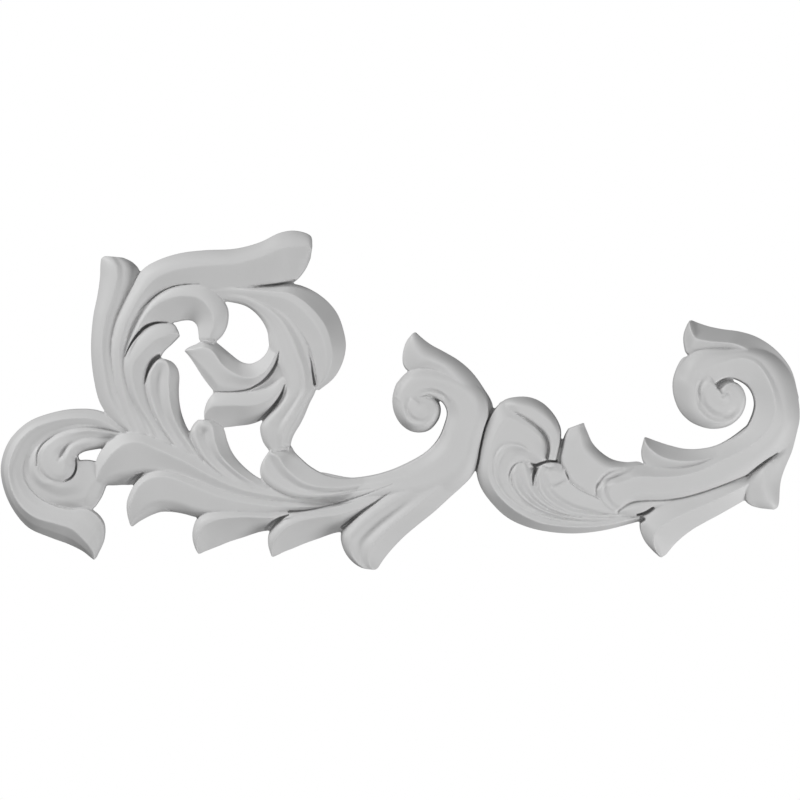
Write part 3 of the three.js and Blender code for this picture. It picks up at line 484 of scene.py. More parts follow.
leaf("rim", [
    (499, 403, 509, 417), (507, 398.5, 514, 414), (515, 396.8, 518, 415), (525, 396.4, 524, 418.5),
    (534, 398.3, 530, 422), (543, 403, 536, 426.5), (551, 410.5, 541.5, 431), (557, 419, 545.5, 436),
    (561, 429, 548, 443), (561, 440, 548.5, 450), (559, 450, 547.5, 456), (556.5, 460.5, 546.5, 459.5),
], [
    (0, [50, 40, 20, 12, 14, 30, 52]),
    ([0.5, 0.5, 0.5, 0.5, 0.42, 0.35, 0.3], [60, 78, 84, 86, 84, 82, 80], "round"),
    ([0.9, 0.88, 0.86, 0.85, 0.85], [62, 83, 86, 86, 84], "soft"),
    (1, [54, 74, 80, 80, 78], "round"),
])
leaf("inner lobe", [
    (537, 458, 533, 463.5), (531, 450, 526, 463), (523, 442.5, 521, 464), (513, 439.3, 518, 467),
    (503, 441, 514.5, 471), (496, 446.5, 513, 475), (491, 456, 512.5, 480), (489.5, 468, 513.5, 485.5),
    (492, 480, 516.5, 491), (500, 493, 522, 497.5), (512, 504, 531, 503.5), (530, 513.5, 548, 511),
    (555, 520.5, 571, 515.5), (590, 523, 600, 518), (630, 519.5, 632, 517),
], [
    (0, [60, 76, 76, 74, 70, 66, 60, 45]),
    (0.16, [72, 87, 88, 87, 83, 78, 70, 50], "soft"),
    (0.5, [66, 72, 72, 72, 70, 66, 60, 47], "soft"),
    (0.88, [70, 76, 78, 78, 76, 72, 66, 48], "soft"),
    (1, [56, 66, 70, 71, 71, 68, 60, 42], "soft"),
])
leaf("first flute", [
    (646, 515.5, 646, 510.5), (615, 518.6, 615, 513), (590, 519.8, 590, 514), (568, 518.3, 573, 512),
    (552, 515.3, 560, 507.5), (538, 510.6, 549, 501), (527, 504.5, 541.5, 493),
    (518.5, 497.5, 537.5, 485), (512.5, 489.5, 535.5, 477), (510, 480, 534, 470),
    (510.5, 472, 532, 465.5), (514, 465.5, 528.5, 462.3), (519.5, 462, 524, 461),
], [
    (0, [30, 54, 64, 68, 70, 69, 62]),
    (0.13, [42, 64, 74, 80, 82, 82, 70], "round"),
    ([0.42, 0.42, 0.4, 0.38], [34, 52, 60, 65, 70, 74, 71], "soft"),
    (0.66, [44, 62, 72, 76, 78, 78, 72], "soft"),
    (1, [28, 50, 62, 66, 62, 46, 58], "soft"),
])
leaf("second flute", [
    (652, 512.5, 652, 505), (622, 516, 624, 508), (600, 517, 610, 505.5), (580, 516, 597, 497),
    (565, 513, 586, 492), (553, 507, 577, 487), (544, 500.5, 571, 482), (537.5, 492, 568, 477.5),
    (535, 482.5, 566, 472), (535, 474, 563, 467.5), (538, 467.5, 560, 463), (545, 463.3, 556, 461.5),
], [
    (0, [34, 53, 64, 66, 61, 48, 56]),
    (0.09, [44, 62, 70, 72, 74, 74, 66], "round"),
    (0.28, [36, 53, 59, 61, 65, 68, 63], "soft"),
    (0.46, [44, 62, 70, 70, 72, 72, 64], "soft"),
    (1, [40, 60, 70, 70, 70, 66, 60], "straight"),
])

# The right scroll.
leaf("collar", [
    (602, 508, 650, 470), (590, 497, 640, 461.8), (578, 489, 626, 462), (569, 482, 612, 459),
    (564, 472, 600, 451), (559, 461, 592, 442), (561, 448, 588, 433), (564, 436, 585.5, 427),
    (568, 428.5, 584, 422.5),
], [
    (0, [45, 60, 58, 56, 50]),
    (0.08, [50, 68, 72, 72, 58], "round"),
    ([0.7, 0.7, 0.7, 0.68, 0.6], [56, 72, 80, 80, 62], "soft"),
    (1, [30, 16, 10, 14, 34], "round"),
])
leaf("under lip", [
    (676, 496, 676, 510), (657, 497.5, 657, 510), (640, 499, 644, 515), (629, 501.5, 634, 516),
    (621, 506, 626, 515.5), (617, 511, 620, 514),
], [
    (0, [50, 52, 54, 50]),
    (0.4, [60, 66, 68, 60], "round"),
    (1, [45, 45, 48, 44], "round"),
])
leaf("lower leaf", [
    (762, 460, 768, 488), (745, 474, 747, 499), (728, 481, 732, 507.5), (710, 488, 718, 515.5),
    (693, 494, 704, 523), (677, 498, 692, 530), (663, 501.5, 682, 537.5), (652, 508, 674, 545),
    (641, 517, 669, 551), (639.5, 527, 665.5, 555), (644, 540, 663, 556.5), (652, 550, 662, 557.3),
    (659, 556.5, 661.5, 557.5),
], [
    (0, [23, 54, 60, 58, 48, 36, 34]),
    ([0.4, 0.42, 0.44, 0.47, 0.45, 0.55, 0.6], [41, 74, 84, 87, 84, 74, 54], "straight"),
    (1, [23, 44, 46, 42, 42, 45], "straight"),
])
leaf("tail leaf", [
    (768, 440, 797.5, 430), (770, 456, 792, 451), (761, 463.5, 787, 463), (752, 472, 783, 473),
    (746, 482, 780.5, 482), (744.5, 492, 779.5, 492), (745, 500.5, 779, 501), (751, 505.5, 777.5, 507),
    (759, 508, 774, 509.5),
], [
    (0, [30, 48, 52, 45, 40]),
    ([0.3, 0.3, 0.45, 0.66, 0.8], [39, 66, 73, 70, 52], "soft"),
    (1, [14, 20, 30, 40, 45], "round"),
])
leaf("stem", [
    (596.5, 494, 596.5, 486), (600, 502.5, 600.5, 478), (607, 509, 608, 472.5), (617, 511.5, 620, 468.5),
    (632, 502, 638, 464), (655, 500.5, 658, 465), (680, 498, 680, 464), (703, 492, 700, 458),
    (725, 484.5, 716, 448), (747, 475.5, 733, 438), (768, 464, 744, 428.5), (788, 447, 750, 418),
    (798.5, 426, 753.5, 405), (798.6, 400, 751.5, 394), (791, 373, 746, 386), (775, 355, 738, 381),
    (752, 346, 730, 378.5), (727, 346.5, 722, 380), (703, 348.5, 715, 384), (685.5, 357, 709, 391),
    (674, 374, 708, 400),
], [
    (0, [50, 60, 62, 62, 56, 36, 20, 4, 30, 58, 30]),
    (
        [0.3, 0.2, 0.25, 0.25, 0.3, 0.4, 0.4, 0.46, 0.3, 0.4, 0.5],
        [62, 72, 74, 76, 78, 82, 86, 84, 86, 82, 83],
        "round",
    ),
    (
        [0.6, 0.68, 0.68, 0.68, 0.66, 0.62, 0.58, 0.56, 0.4, 0.55, 0.65],
        [68, 80, 85, 88, 90, 94, 97, 97, 93, 84, 79],
        "straight",
    ),
    (1, [56, 52, 48, 52, 56, 60, 62, 62, 68, 78, 86], "straight"),
])
button("eye", (722, 397), [
    (685, 356.5), (674, 374), (672.5, 391), (678, 408.5), (685, 417.5), (694, 424), (711, 429),
    (729, 426), (741.5, 415), (746, 400), (742.5, 388), (735.5, 382), (726, 383), (717, 388), (705, 372),
], [
    (0, [10, 34, 34, 34, 34, 36, 40, 44, 46, 50, 56, 66, 70, 74, 40]),
    (
        [0.5, 0.42, 0.47, 0.4, 0.38, 0.32, 0.24, 0.2, 0.2, 0.2, 0.2, 0.2, 0.2, 0.2, 0.3],
        [78, 85, 85, 83, 82, 80, 78, 78, 78, 78, 79, 80, 80, 82, 74],
        "round",
    ),
    (
        [0.58, 0.5, 0.52, 0.45, 0.42, 0.37, 0.33, 0.32, 0.3, 0.3, 0.3, 0.3, 0.3, 0.3, 0.5],
        [80, 81, 81, 80, 80, 79, 79, 79, 80, 82, 83, 83, 82, 85, 81],
        "soft",
    ),
    (0.7, [92, 90, 90, 88, 88, 88, 88, 88, 88, 88, 88, 88, 89, 90, 90], "soft"),
    (1, 96, "soft"),
])
leaf("upper spur", [
    (748, 424, 756, 440), (731, 437, 740, 453), (716, 445, 721, 461.5), (700, 448.5, 703, 467.5),
    (684, 448.5, 685, 470.5), (669, 445, 668, 471.5), (658, 441.5, 653, 469), (650, 438.5, 643.5, 463),
    (646, 437, 641, 452), (644.5, 436.5, 643, 442),
], [
    (0, [50, 50, 26, 10, 16, 36]),
    ([0.6, 0.6, 0.6, 0.52, 0.34, 0.3], [60, 70, 76, 78, 70, 52], "straight"),
    (1, [50, 62, 60, 56, 50, 43], "soft"),
])
leaf("volute spur", [
    (799, 398, 774, 402), (791, 369, 766, 380), (775, 349, 754, 365), (757, 337, 741, 354),
    (740, 331.5, 728, 349.5), (722, 329, 712, 350), (708, 326, 698, 352.5), (699, 323, 687, 354.5),
    (694, 321, 683.5, 345), (691.5, 320, 683.5, 334), (689.5, 320.5, 687, 324.5),
], [
    (0, [4, 3, 4, 8, 14, 36]),
    ([0.7, 0.75, 0.75, 0.66, 0.5, 0.36, 0.34], [20, 50, 76, 80, 76, 66, 50], "straight"),
    (1, [18, 36, 64, 56, 50, 45, 43], "soft"),
])

# The creases that wind into the left volute.
score([
    (120, 432.5), (108, 429.5), (96, 427.3), (84, 427.5), (72, 429), (62, 432), (52, 438), (44, 444.5),
    (39, 453), (38, 465),
], [1.2, 1.4, 1.4, 1.2, 1.2, 1.6, 1.6], [5, 12, 4, 1, 1, 7, 11, 6])
score([(77, 458), (77.3, 466), (76, 472), (72, 477.5), (65, 481)], 1.4, [10, 30, 44, 30, 4])
score([(60, 460), (63, 454), (67, 446.5), (74, 440.8), (84, 437.8)], 2.4, [3, 6, 4, 1, 1])
# The creases between the tall frond's leaves.
score([
    (140, 311), (150, 302), (160, 293.5), (170, 288.3), (180, 285.6), (190, 284.6), (200, 284.6),
], 0.9, [3, 12, 14, 12, 8, 3])
score([
    (126, 357), (130, 348), (135, 339.5), (140, 333), (145, 328), (151, 324.8), (158, 323), (168, 323),
], [0.6, 1.2, 1.8, 1.9, 1.9, 1.5, 1], [8, 40, 60, 64, 60, 40, 10])
score([
    (145.5, 384), (146.8, 377), (149, 369.5), (153, 362), (159, 356.5),
], [0.6, 1.2, 1.9, 2.5, 2.6], [6, 40, 70, 80, 80])
# The slots beside the hook frond's leaves.
score([
    (250, 286.3), (262, 285.8), (275, 284.6), (286, 283), (294, 281.5),
], [0.8, 1, 1.4, 2, 2.4], [2, 10, 30, 60, 70])
score([(309, 352), (311.8, 364), (313, 374), (314.7, 384)], [0.8, 1.3, 1.6, 1.8], [2, 16, 34, 36])
score([
    (279.5, 352), (277.5, 361), (272.5, 371), (266, 379), (258, 385), (248, 389.5), (236, 391.5),
    (216, 392),
], [1, 1.8, 2.2, 1.6, 1.2, 1], [4, 30, 40, 30, 24, 16, 10, 8])
score([
    (285, 385), (281.5, 395), (275, 405), (267, 414), (259.5, 421.5),
], [1.2, 2, 2.2, 2.6], [10, 50, 60, 66, 60])
score([(199, 339.5), (206, 340.3), (214, 340.5)], 1.8, [1, 3, 12])
score([(278, 449), (284, 447.3), (290, 446)], 1.8, [1, 4, 12])
# The gaps where the fan's leaves part.
score([(144, 472.5), (138, 476.5), (133.5, 480.5), (129, 485.5)], [1.2, 2.8, 4, 4.6], [14, 80, 98])
score([(166, 508.5), (178, 512.5), (189, 515.5), (198, 517.5)], [0.6, 1.2, 1.6, 1.6], [8, 30, 50, 40])
score([(289, 514.5), (281, 518), (274.5, 522.5), (268, 529.5)], [1, 2.4, 3.6, 4.4], [14, 80, 98])
# Creases where the fan's leaves run into the stem.
score([
    (392, 484), (375, 490.5), (360, 496), (340, 502.5), (320, 507.5), (305, 510.5), (290, 511.5),
], [1, 1.1, 1.2, 1.4, 2], [3, 7, 10, 14, 24])
score([(370, 488.5), (350, 491.5), (330, 495.5), (310, 497.5), (292, 496.5)], 1.2, [2, 5, 7, 7, 4])
score([
    (390, 492), (375, 502), (362, 511), (352, 519.5), (343, 527),
], [1, 1.3, 1.6, 2.2, 2.6], [4, 14, 24, 44, 60])
# The crease over the middle eye and the soft hollow above it.
score([
    (420, 396.8), (427, 395.3), (433, 397.5), (437.5, 400.5), (441, 404.5),
], [1.4, 1.6, 1.8, 2.4], [3, 12, 26, 50])
score([(422, 391.5), (430, 390.3), (438, 392.5), (444, 396.5), (448, 402)], 2.8, [2, 6, 9, 6, 2])
# The hook in the shell's rim.
score([
    (517, 414), (523, 417.5), (529, 421.5), (535, 426), (541, 431), (545.5, 436.5), (548, 444),
    (548.2, 451), (546.5, 458),
], [1.2, 1.6, 1.8, 2.2, 2.6, 2.6], [3, 7, 9, 12, 18, 30])
# The black gap between the middle volute and the shell.
score([
    (494, 406.5), (490, 415), (485, 427), (482, 439), (480, 449), (478, 461), (475, 473),
], [1.4, 1.3, 1.2, 1.2, 1.4], [34, 60, 62, 60, 50])
# The shell's rim against its flutes.
score([
    (530, 463), (535, 465), (541, 463), (547, 461), (556, 461),
], [1.2, 2, 2, 1.7, 1.4], [14, 44, 48, 40, 36])
# The pit between the two flutes.
score([(534.5, 465), (534.5, 470), (533, 476), (532.3, 484)], [2, 1.8, 1.8, 1.4], [40, 44, 40, 8])
# Where the first flute rolls out of the inner lobe.
score([(509, 482), (509, 474), (512, 467), (517, 462.5), (523, 461)], [1.4, 1.8, 2], [3, 8, 9, 6, 2])
# Soft dents in the end of the second flute, and the nick beside it.
score([(546, 469), (553, 467), (561, 469)], 4, [3, 9, 6])
score([(549, 486), (556, 484), (565, 480)], 3.5, [3, 7, 5])
score([(565, 471), (566.5, 475), (568, 479)], 1.2, [4, 14, 4])
# The stem's end on the collar, and the ring inside it.
score([
    (596, 495), (596.5, 487), (600, 479.5), (606, 473.5), (613, 470.5), (622, 468.8),
], [2.4, 3, 3, 2.4], [3, 6, 6, 3])
score([
    (627, 476), (616, 477), (608, 482), (604.5, 490), (606, 498), (611, 504.5), (617, 508),
], 4, [2, 5, 6, 7, 6, 5, 3])
# The long crease under the stem.
score([
    (617, 512), (622, 506), (631, 502.3), (645, 500.6), (662, 500), (680, 497.8), (700, 492.5),
    (722, 484.8), (738, 478.3), (747, 475),
], [2.2, 1.6, 1.3, 1.2, 1.2], [4, 6, 8, 10, 12])
score([(746, 475.5), (755, 468.5), (765, 461), (776, 453.3)], [1.2, 1.7, 1.7, 1.1], [14, 30, 30, 12])
# The recess over the right eye, its spiral and the nick at its middle.
score([
    (715.5, 388.5), (718, 384), (723, 380.4), (729, 379.8), (736, 382),
], [1.6, 2.6, 3, 3], [5, 20, 26, 20, 12])
score([(721, 396.5), (726, 393.5)], 2.2, 3.5)
score([
    (709, 370), (702, 380), (698, 391), (699, 400), (703.5, 408.5), (711, 415), (720, 417.5), (728, 416),
    (735, 411),
], [4, 5, 6, 6, 5], [1, 4, 8, 10, 12, 12, 8, 3])
# The black gap between the shell's flutes and the lower leaf.
score([(637, 514.5), (645, 512.5), (652, 508)], [1.4, 2.2, 2], [50, 80, 44])
score([(643, 519), (639, 521.5)], 2.4, 64)

# Low ground that shows between the leaves where a crease runs deep: x, y and radius in squares, and
# height in hundredths of the relief.
GROUND = [
    (56, 465, 24, 60), (102, 470, 9, 34), (86, 507, 6, 34), (208, 340, 7, 39), (219, 394, 6, 34),
    (213, 424, 7, 34), (281.5, 448.5, 7.5, 39), (274, 384, 11, 60), (280, 373, 5, 60),
    (432, 398, 8, 45), (484, 440, 20, 16), (493, 416, 8, 16), (542, 458, 21, 41), (561, 447, 8, 16),
    (536, 464, 6, 20), (628, 507, 9, 34), (639, 516, 5, 20), (648, 508, 10, 27), (724, 385, 10, 59),
]


def on_sheet(points):
    """Sheet squares, x and y, as x and z in metres."""
    points = np.asarray(points, float)
    return (points - SHEET / 2) * (SQUARE, -SQUARE)


def off_sheet(points):
    """The other way: x and z in metres as sheet squares."""
    return points / (SQUARE, -SQUARE) + SHEET / 2


def curve(start, end, leaving, arriving, t):
    """The smooth curve that leaves start and arrives at end with the given slopes."""
    bend = 3 * (end - start) - 2 * leaving - arriving
    twist = 2 * (start - end) + leaving + arriving
    return start + leaving * t + bend * t**2 + twist * t**3


def spread(values, shares):
    """A number, or a list spread evenly from root to tip, at each share of the way along."""
    if not isinstance(values, list):
        return np.full(len(shares), float(values))
    values = np.array(values, float)
    last = len(values) - 1
    place = shares * last
    first = np.minimum(place.astype(int), last - 1)
    before, start, end, after = (values[np.clip(first + i, 0, last)] for i in (-1, 0, 1, 2))
    return curve(start, end, (end - before) / 2, (after - start) / 2, place - first)


def rail(name, points, shares, closed=False):
    """Points at each share of the way along the smooth curve through the given ones."""
    points = on_sheet(points)
    if not np.diff(points, axis=0).any(axis=1).all():
        raise ValueError(f"{name} has the same point twice running, and no curve runs through that")
    if closed:
        row = np.vstack([points[-1:], points, points[:2]])
        spans = len(points)
    else:
        row = np.vstack([2 * points[0] - points[1], points, 2 * points[-1] - points[-2]])
        spans = len(points) - 1
    place = shares * spans
    start = np.minimum(place.astype(int), spans - 1)
    a, b, c, d = (row[start + i] for i in range(4))
    before, here, after = (
        np.sqrt(np.linalg.norm(q - p, axis=1, keepdims=True)) for p, q in ((a, b), (b, c), (c, d))
    )
    leaving = ((b - a) / before - (c - a) / (before + here) + (c - b) / here) * here
    arriving = ((c - b) / here - (d - b) / (here + after) + (d - c) / after) * here
    return curve(b, c, leaving, arriving, (place - start)[:, None])


def section(folds, widths, shares, sizes):
    """Each rib's surface, from edge to edge: distances from the first edge, and heights."""
    places = [spread(fold[0], shares) for fold in folds]
    heights = [spread(fold[1], shares) * sizes.relief / 100 for fold in folds]
    first = np.minimum(sizes.draft * heights[0], SHARPEST_SHARE * widths)
    last = np.minimum(sizes.draft * heights[-1], SHARPEST_SHARE * widths)
    distances = [first]
    rises = [heights[0]]
    for i in range(1, len(folds)):
        low, high = SLOPES[folds[i][2]]
        climb = heights[i] - heights[i - 1]
        leaving = np.where(climb >= 0, low, high)
        arriving = np.where(climb >= 0, high, low)
        for j in range(1, POINTS_PER_FOLD + 1):
            t = j / POINTS_PER_FOLD
            place = places[i - 1] + (places[i] - places[i - 1]) * t
            distances.append(first + place * (widths - first - last))
            rises.append(heights[i - 1] + climb * curve(0, 1, leaving, arriving, t))
    return np.array(distances).T, np.array(rises).T


def surface(start, end, distances, rises):
    """Points in the part's frame along ribs from start to end, at the given distances and heights."""
    widths = np.linalg.norm(end - start, axis=1)
    shares = (distances / widths[:, None])[:, :, None]
    flat = start[:, None] + (end - start)[:, None] * shares
    return np.stack([flat[:, :, 0], -rises, flat[:, :, 1]], axis=2)


def engrave(places, heights, sizes):
    """Heights in metres at places on the sheet, in squares, once every score is cut."""
    heights = heights.copy()
    for path, half_width, depth in scores:
        shares = np.linspace(0, 1, PATH_STEPS * (len(path) - 1) + 1)
        line = off_sheet(rail("score", path, shares))
        reach = spread(half_width, shares)
        depths = spread(depth, shares) * sizes.relief / 100
        low = line.min(axis=0) - reach.max()
        high = line.max(axis=0) + reach.max()
        near = np.flatnonzero(((places > low) & (places < high)).all(axis=1))
        away = np.linalg.norm(places[near, None] - line[None], axis=2)
        most = np.clip(heights[near, None], 0, None) * (1 - LEAST_LEFT)
        cut = np.minimum(depths, most) * np.clip(1 - (away / reach) ** 2, 0, 1) ** 2
        heights[near] -= cut.max(axis=1)
    return heights


class Casting:
    """Gathers closed shapes that overlap, to be fused into one casting."""

    def __init__(self):
        self.points = []
        self.faces = []
        self.count = 0

    def add(self, points, faces):
        self.points.append(points.reshape(-1, 3))
        self.faces += [[self.count + i for i in face] for face in faces]
        self.count += points.size // 3

    def mesh(self, name):
        made = bpy.data.meshes.new(name)
        made.from_pydata(np.vstack(self.points).tolist(), [], self.faces)
        made.validate()
        return made


def add_leaf(casting, name, ribs, folds, sizes):
    """A leaf as a closed tube: its carved surface, its two sides, its underside and both ends."""
    stations = (len(ribs) - 1) * STEPS_PER_RIB + 1
    shares = np.linspace(0, 1, stations)
    start = rail(name, [rib[:2] for rib in ribs], shares)
    end = rail(name, [rib[2:] for rib in ribs], shares)
    widths = np.linalg.norm(end - start, axis=1)
    distances, rises = section(folds, widths, shares, sizes)
    foot = np.full((stations, 1), -FOOT)
    distances = np.hstack([np.zeros((stations, 1)), distances, widths[:, None]])
    rises = np.hstack([foot, rises, foot])
    points = surface(start, end, distances, rises)
    around = points.shape[1]
    faces = [list(range(around)), list(range(stations * around - 1, (stations - 1) * around - 1, -1))]
    for s in range(stations - 1):
        for i in range(around):
            a = s * around + i
            b = s * around + (i + 1) % around
            faces.append([b, a, a + around, b + around])
    casting.add(points, faces)


def add_button(casting, name, centre, rim, folds, sizes):
    """A button as a closed cap: its side, its carved surface up to one top point, and its underside."""
    stations = len(rim) * STEPS_PER_RIB
    shares = np.arange(stations) / stations
    start = rail(name, rim, shares, closed=True)
    end = np.tile(on_sheet([centre]), (stations, 1))
    widths = np.linalg.norm(end - start, axis=1)
    distances, rises = section(folds, widths, shares, sizes)
    foot = np.full((stations, 1), -FOOT)
    distances = np.hstack([np.zeros((stations, 1)), distances[:, :-1]])
    rises = np.hstack([foot, rises[:, :-1]])
    points = surface(start, end, distances, rises)
    rings = points.shape[1]
    x, z = end[0]
    top = -folds[-1][1] * sizes.relief / 100
    points = np.vstack([points.reshape(-1, 3), [[x, top, z], [x, FOOT, z]]])
    faces = []
    for s in range(stations):
        a = s * rings
        b = ((s + 1) % stations) * rings
        faces += [[a + i, b + i, b + i + 1, a + i + 1] for i in range(rings - 1)]
        faces.append([a + rings - 1, b + rings - 1, stations * rings])
        faces.append([b, a, stations * rings + 1])
    casting.add(points, faces)


class Wire:
    """A node's output, whose arithmetic adds Math nodes."""

    def __init__(self, build, socket):
        self.build = build
        self.socket = socket

    def _math(self, operation, other):
        return self.build.add("ShaderNodeMath", {"operation": operation}, {0: self, 1: other})

    def __add__(self, other):
        return self._math("ADD", other)

    def __mul__(self, other):
        return self._math("MULTIPLY", other)

    __radd__ = __add__
    __rmul__ = __mul__


def find_socket(sockets, key):
    """The socket with this number, identifier or name."""
    return next(each for i, each in enumerate(sockets) if key in (i, each.identifier, each.name))


class Nodes:
    """A node tree being built node by node."""

    def __init__(self, tree):
        self.tree = tree
        tree.nodes.clear()

    def add(self, kind, settings=None, values=None, output=0):
        """Adds a node, its settings first and then its sockets' values or links, and gives one output."""
        node = self.tree.nodes.new(kind)
        for key, value in (settings or {}).items():
            setattr(node, key, value)
        for key, value in (values or {}).items():
            socket = find_socket(node.inputs, key)
            if isinstance(value, Wire):
                self.tree.links.new(value.socket, socket)
            else:
                socket.default_value = value
        if not node.outputs:
            return None
        return Wire(self, find_socket(node.outputs, output))

    def noise(self, scale, detail):
        """Soft noise fixed to the object, with so many spots to the metre and so many finer layers."""
        place = self.add("ShaderNodeTexCoord", output="Object")
        return self.add("ShaderNodeTexNoise", None, {"Vector": place, "Scale": scale, "Detail": detail})

    def mix(self, factor, first, second):
        """A blend of two colours."""
        values = {"Factor_Float": factor, "A_Color": first, "B_Color": second}
        return self.add("ShaderNodeMix", {"data_type": "RGBA"}, values, output="Result_Color")


def ground_tree(primer):
    """Geometry nodes that set a round block on every point, as wide and as tall as the point's size."""
    tree = bpy.data.node_groups.new("Ground blocks", "GeometryNodeTree")
    tree.is_modifier = True
    face = tree.interface
    face.new_socket("Geometry", in_out="INPUT", socket_type="NodeSocketGeometry")
    sides = face.new_socket("Sides", in_out="INPUT", socket_type="NodeSocketInt")
    face.new_socket("Geometry", in_out="OUTPUT", socket_type="NodeSocketGeometry")
    build = Nodes(tree)
    points = build.add("NodeGroupInput", output="Geometry")
    count = build.add("NodeGroupInput", output="Sides")
    block = build.add("GeometryNodeMeshCylinder", None, {"Vertices": count, "Radius": 1.0, "Depth": 1.0})
    size = build.add("GeometryNodeInputNamedAttribute", {"data_type": "FLOAT_VECTOR"}, {"Name": "size"})
    quarter_turn = (math.pi / 2, 0, 0)
    blocks = build.add(
        "GeometryNodeInstanceOnPoints",
        None,
        {"Points": points, "Instance": block, "Rotation": quarter_turn, "Scale": size},
    )
    real = build.add("GeometryNodeRealizeInstances", None, {"Geometry": blocks})
    painted = build.add("GeometryNodeSetMaterial", None, {"Geometry": real, "Material": primer})
    build.add("NodeGroupOutput", None, {"Geometry": painted})
    return tree, sides.identifier


def new_object(name, data):
    made = bpy.data.objects.new(name, data)
    bpy.context.scene.collection.objects.link(made)
    return made


def plain_mesh(thing, name):
    """The object's mesh with its modifiers applied, and the modifiers removed."""
    graph = bpy.context.evaluated_depsgraph_get()
    made = bpy.data.meshes.new_from_object(thing.evaluated_get(graph), depsgraph=graph)
    made.name = name
    thing.modifiers.clear()
    old = thing.data
    thing.data = made
    bpy.data.meshes.remove(old)
    return made


def places_of(mesh):
    """Where a mesh's points are, one row each."""
    places = np.empty(len(mesh.vertices) * 3)
    mesh.vertices.foreach_get("co", places)
    return places.reshape(-1, 3)


def add_ground(casting, sizes, primer):
    """Low blocks between the leaves, placed by Geometry Nodes."""
    points = bpy.data.meshes.new("Ground points")
    spots = on_sheet([spot[:2] for spot in GROUND])
    heights = np.array([spot[3] for spot in GROUND]) * sizes.relief / 100
    radii = np.array([spot[2] for spot in GROUND]) * SQUARE
    middles = (FOOT - heights) / 2
    points.from_pydata(np.stack([spots[:, 0], middles, spots[:, 1]], axis=1).tolist(), [], [])
    size = points.attributes.new("size", "FLOAT_VECTOR", "POINT")
    size.data.foreach_set("vector", np.stack([radii, radii, heights + FOOT], axis=1).ravel())
    blocks = new_object("Ground blocks", points)
    tree, sides = ground_tree(primer)
    modifier = blocks.modifiers.new("Blocks", "NODES")
    modifier.node_group = tree
    modifier[sides] = BLOCK_SIDES
    made = plain_mesh(blocks, "Ground blocks")
    casting.add(places_of(made), [list(face.vertices) for face in made.polygons])
    bpy.data.objects.remove(blocks)


def wall_block():
    """What stands for the wall: everything behind the back's plane is cut away with it."""
    reach = 2 * (HIGH.x - LOW.x)
    depth = 4 * FOOT
    block = bmesh.new()
    bmesh.ops.create_cube(block, size=1)
    bmesh.ops.scale(block, verts=block.verts, vec=(reach, depth, reach))
    bmesh.ops.translate(block, verts=block.verts, vec=(0, depth / 2, 0))
    mesh = bpy.data.meshes.new("Wall block")
    block.to_mesh(mesh)
    block.free()
    return new_object("Wall block", mesh)


def ease(thing, times):
    smooth = thing.modifiers.new("Ease", "SMOOTH")
    smooth.factor = EASE_SHARE
    smooth.iterations = times


def carve_casting(sizes, primer):
    """The whole onlay as one closed mesh: the leaves fused, eased, scored and cut flat at the back."""
    casting = Casting()
    for name, ribs, folds in leaves:
        add_leaf(casting, name, ribs, folds, sizes)
    for name, centre, rim, folds in buttons:
        add_button(casting, name, centre, rim, folds, sizes)
    add_ground(casting, sizes, primer)
    onlay = new_object("onlay_casting", casting.mesh("onlay_casting"))
    fuse = onlay.modifiers.new("Fuse", "REMESH")
    fuse.mode = "VOXEL"
    fuse.voxel_size = sizes.grain
    ease(onlay, sizes.softening)
    mesh = plain_mesh(onlay, "onlay_casting")
    places = places_of(mesh)
    places[:, 1] = -engrave(off_sheet(places[:, [0, 2]]), -places[:, 1], sizes)
    mesh.vertices.foreach_set("co", places.ravel())
    ease(onlay, sizes.easing)
    wall = wall_block()
    cut = onlay.modifiers.new("Flat back", "BOOLEAN")
    cut.operation = "DIFFERENCE"
    cut.solver = "MANIFOLD"
    cut.object = wall
    mesh = plain_mesh(onlay, "onlay_casting")
    bpy.data.objects.remove(wall)
    triangles = sum(len(face.vertices) - 2 for face in mesh.polygons)
    if triangles > sizes.faces:
        thin = onlay.modifiers.new("Thin", "DECIMATE")
        thin.ratio = sizes.faces / triangles
        plain_mesh(onlay, "onlay_casting")
    return onlay


def crumbs(work):
    """The points of every closed shell but the largest: bubbles and crumbs that the fusing leaves."""
    left = set(work.verts)
    shells = []
    while left:
        edge = [left.pop()]
        shell = list(edge)
        while edge:
            near = {link.other_vert(vert) for vert in edge for link in vert.link_edges} & left
            left -= near
            edge = list(near)
            shell += edge
        shells.append(shell)
    if not shells:
        raise RuntimeError("the casting has no surface")
    largest = max(shells, key=len)
    return [vert for shell in shells if shell is not largest for vert in shell]


def tidy_casting(onlay):
    """Drops stray crumbs, puts the back in its plane, keeps the outline in the CAD's box and shades it."""
    work = bmesh.new()
    work.from_mesh(onlay.data)
    bmesh.ops.delete(work, geom=crumbs(work), context="VERTS")
    for vert in work.verts:
        if vert.co.y > -FLAT:
            vert.co.y = 0
        for axis in (0, 2):
            vert.co[axis] = min(max(vert.co[axis], LOW[axis]), HIGH[axis])
    bmesh.ops.remove_doubles(work, verts=work.verts, dist=SAME_POINT)
    bmesh.ops.dissolve_degenerate(work, edges=work.edges, dist=SAME_POINT)
    bmesh.ops.triangulate(work, faces=work.faces)
    work.to_mesh(onlay.data)
    work.free()
    onlay.data.shade_smooth()
    onlay.data.set_sharp_from_angle(angle=EDGE_ANGLE)


def new_material(name):
    """A material, and the builder of its empty node tree."""
    made = bpy.data.materials.new(name)
    made.use_nodes = True
    return made, Nodes(made.node_tree)


def shades(colour, tones):
    """The colour in each tone."""
    return [(*(channel * tone for channel in colour), 1.0) for tone in tones]


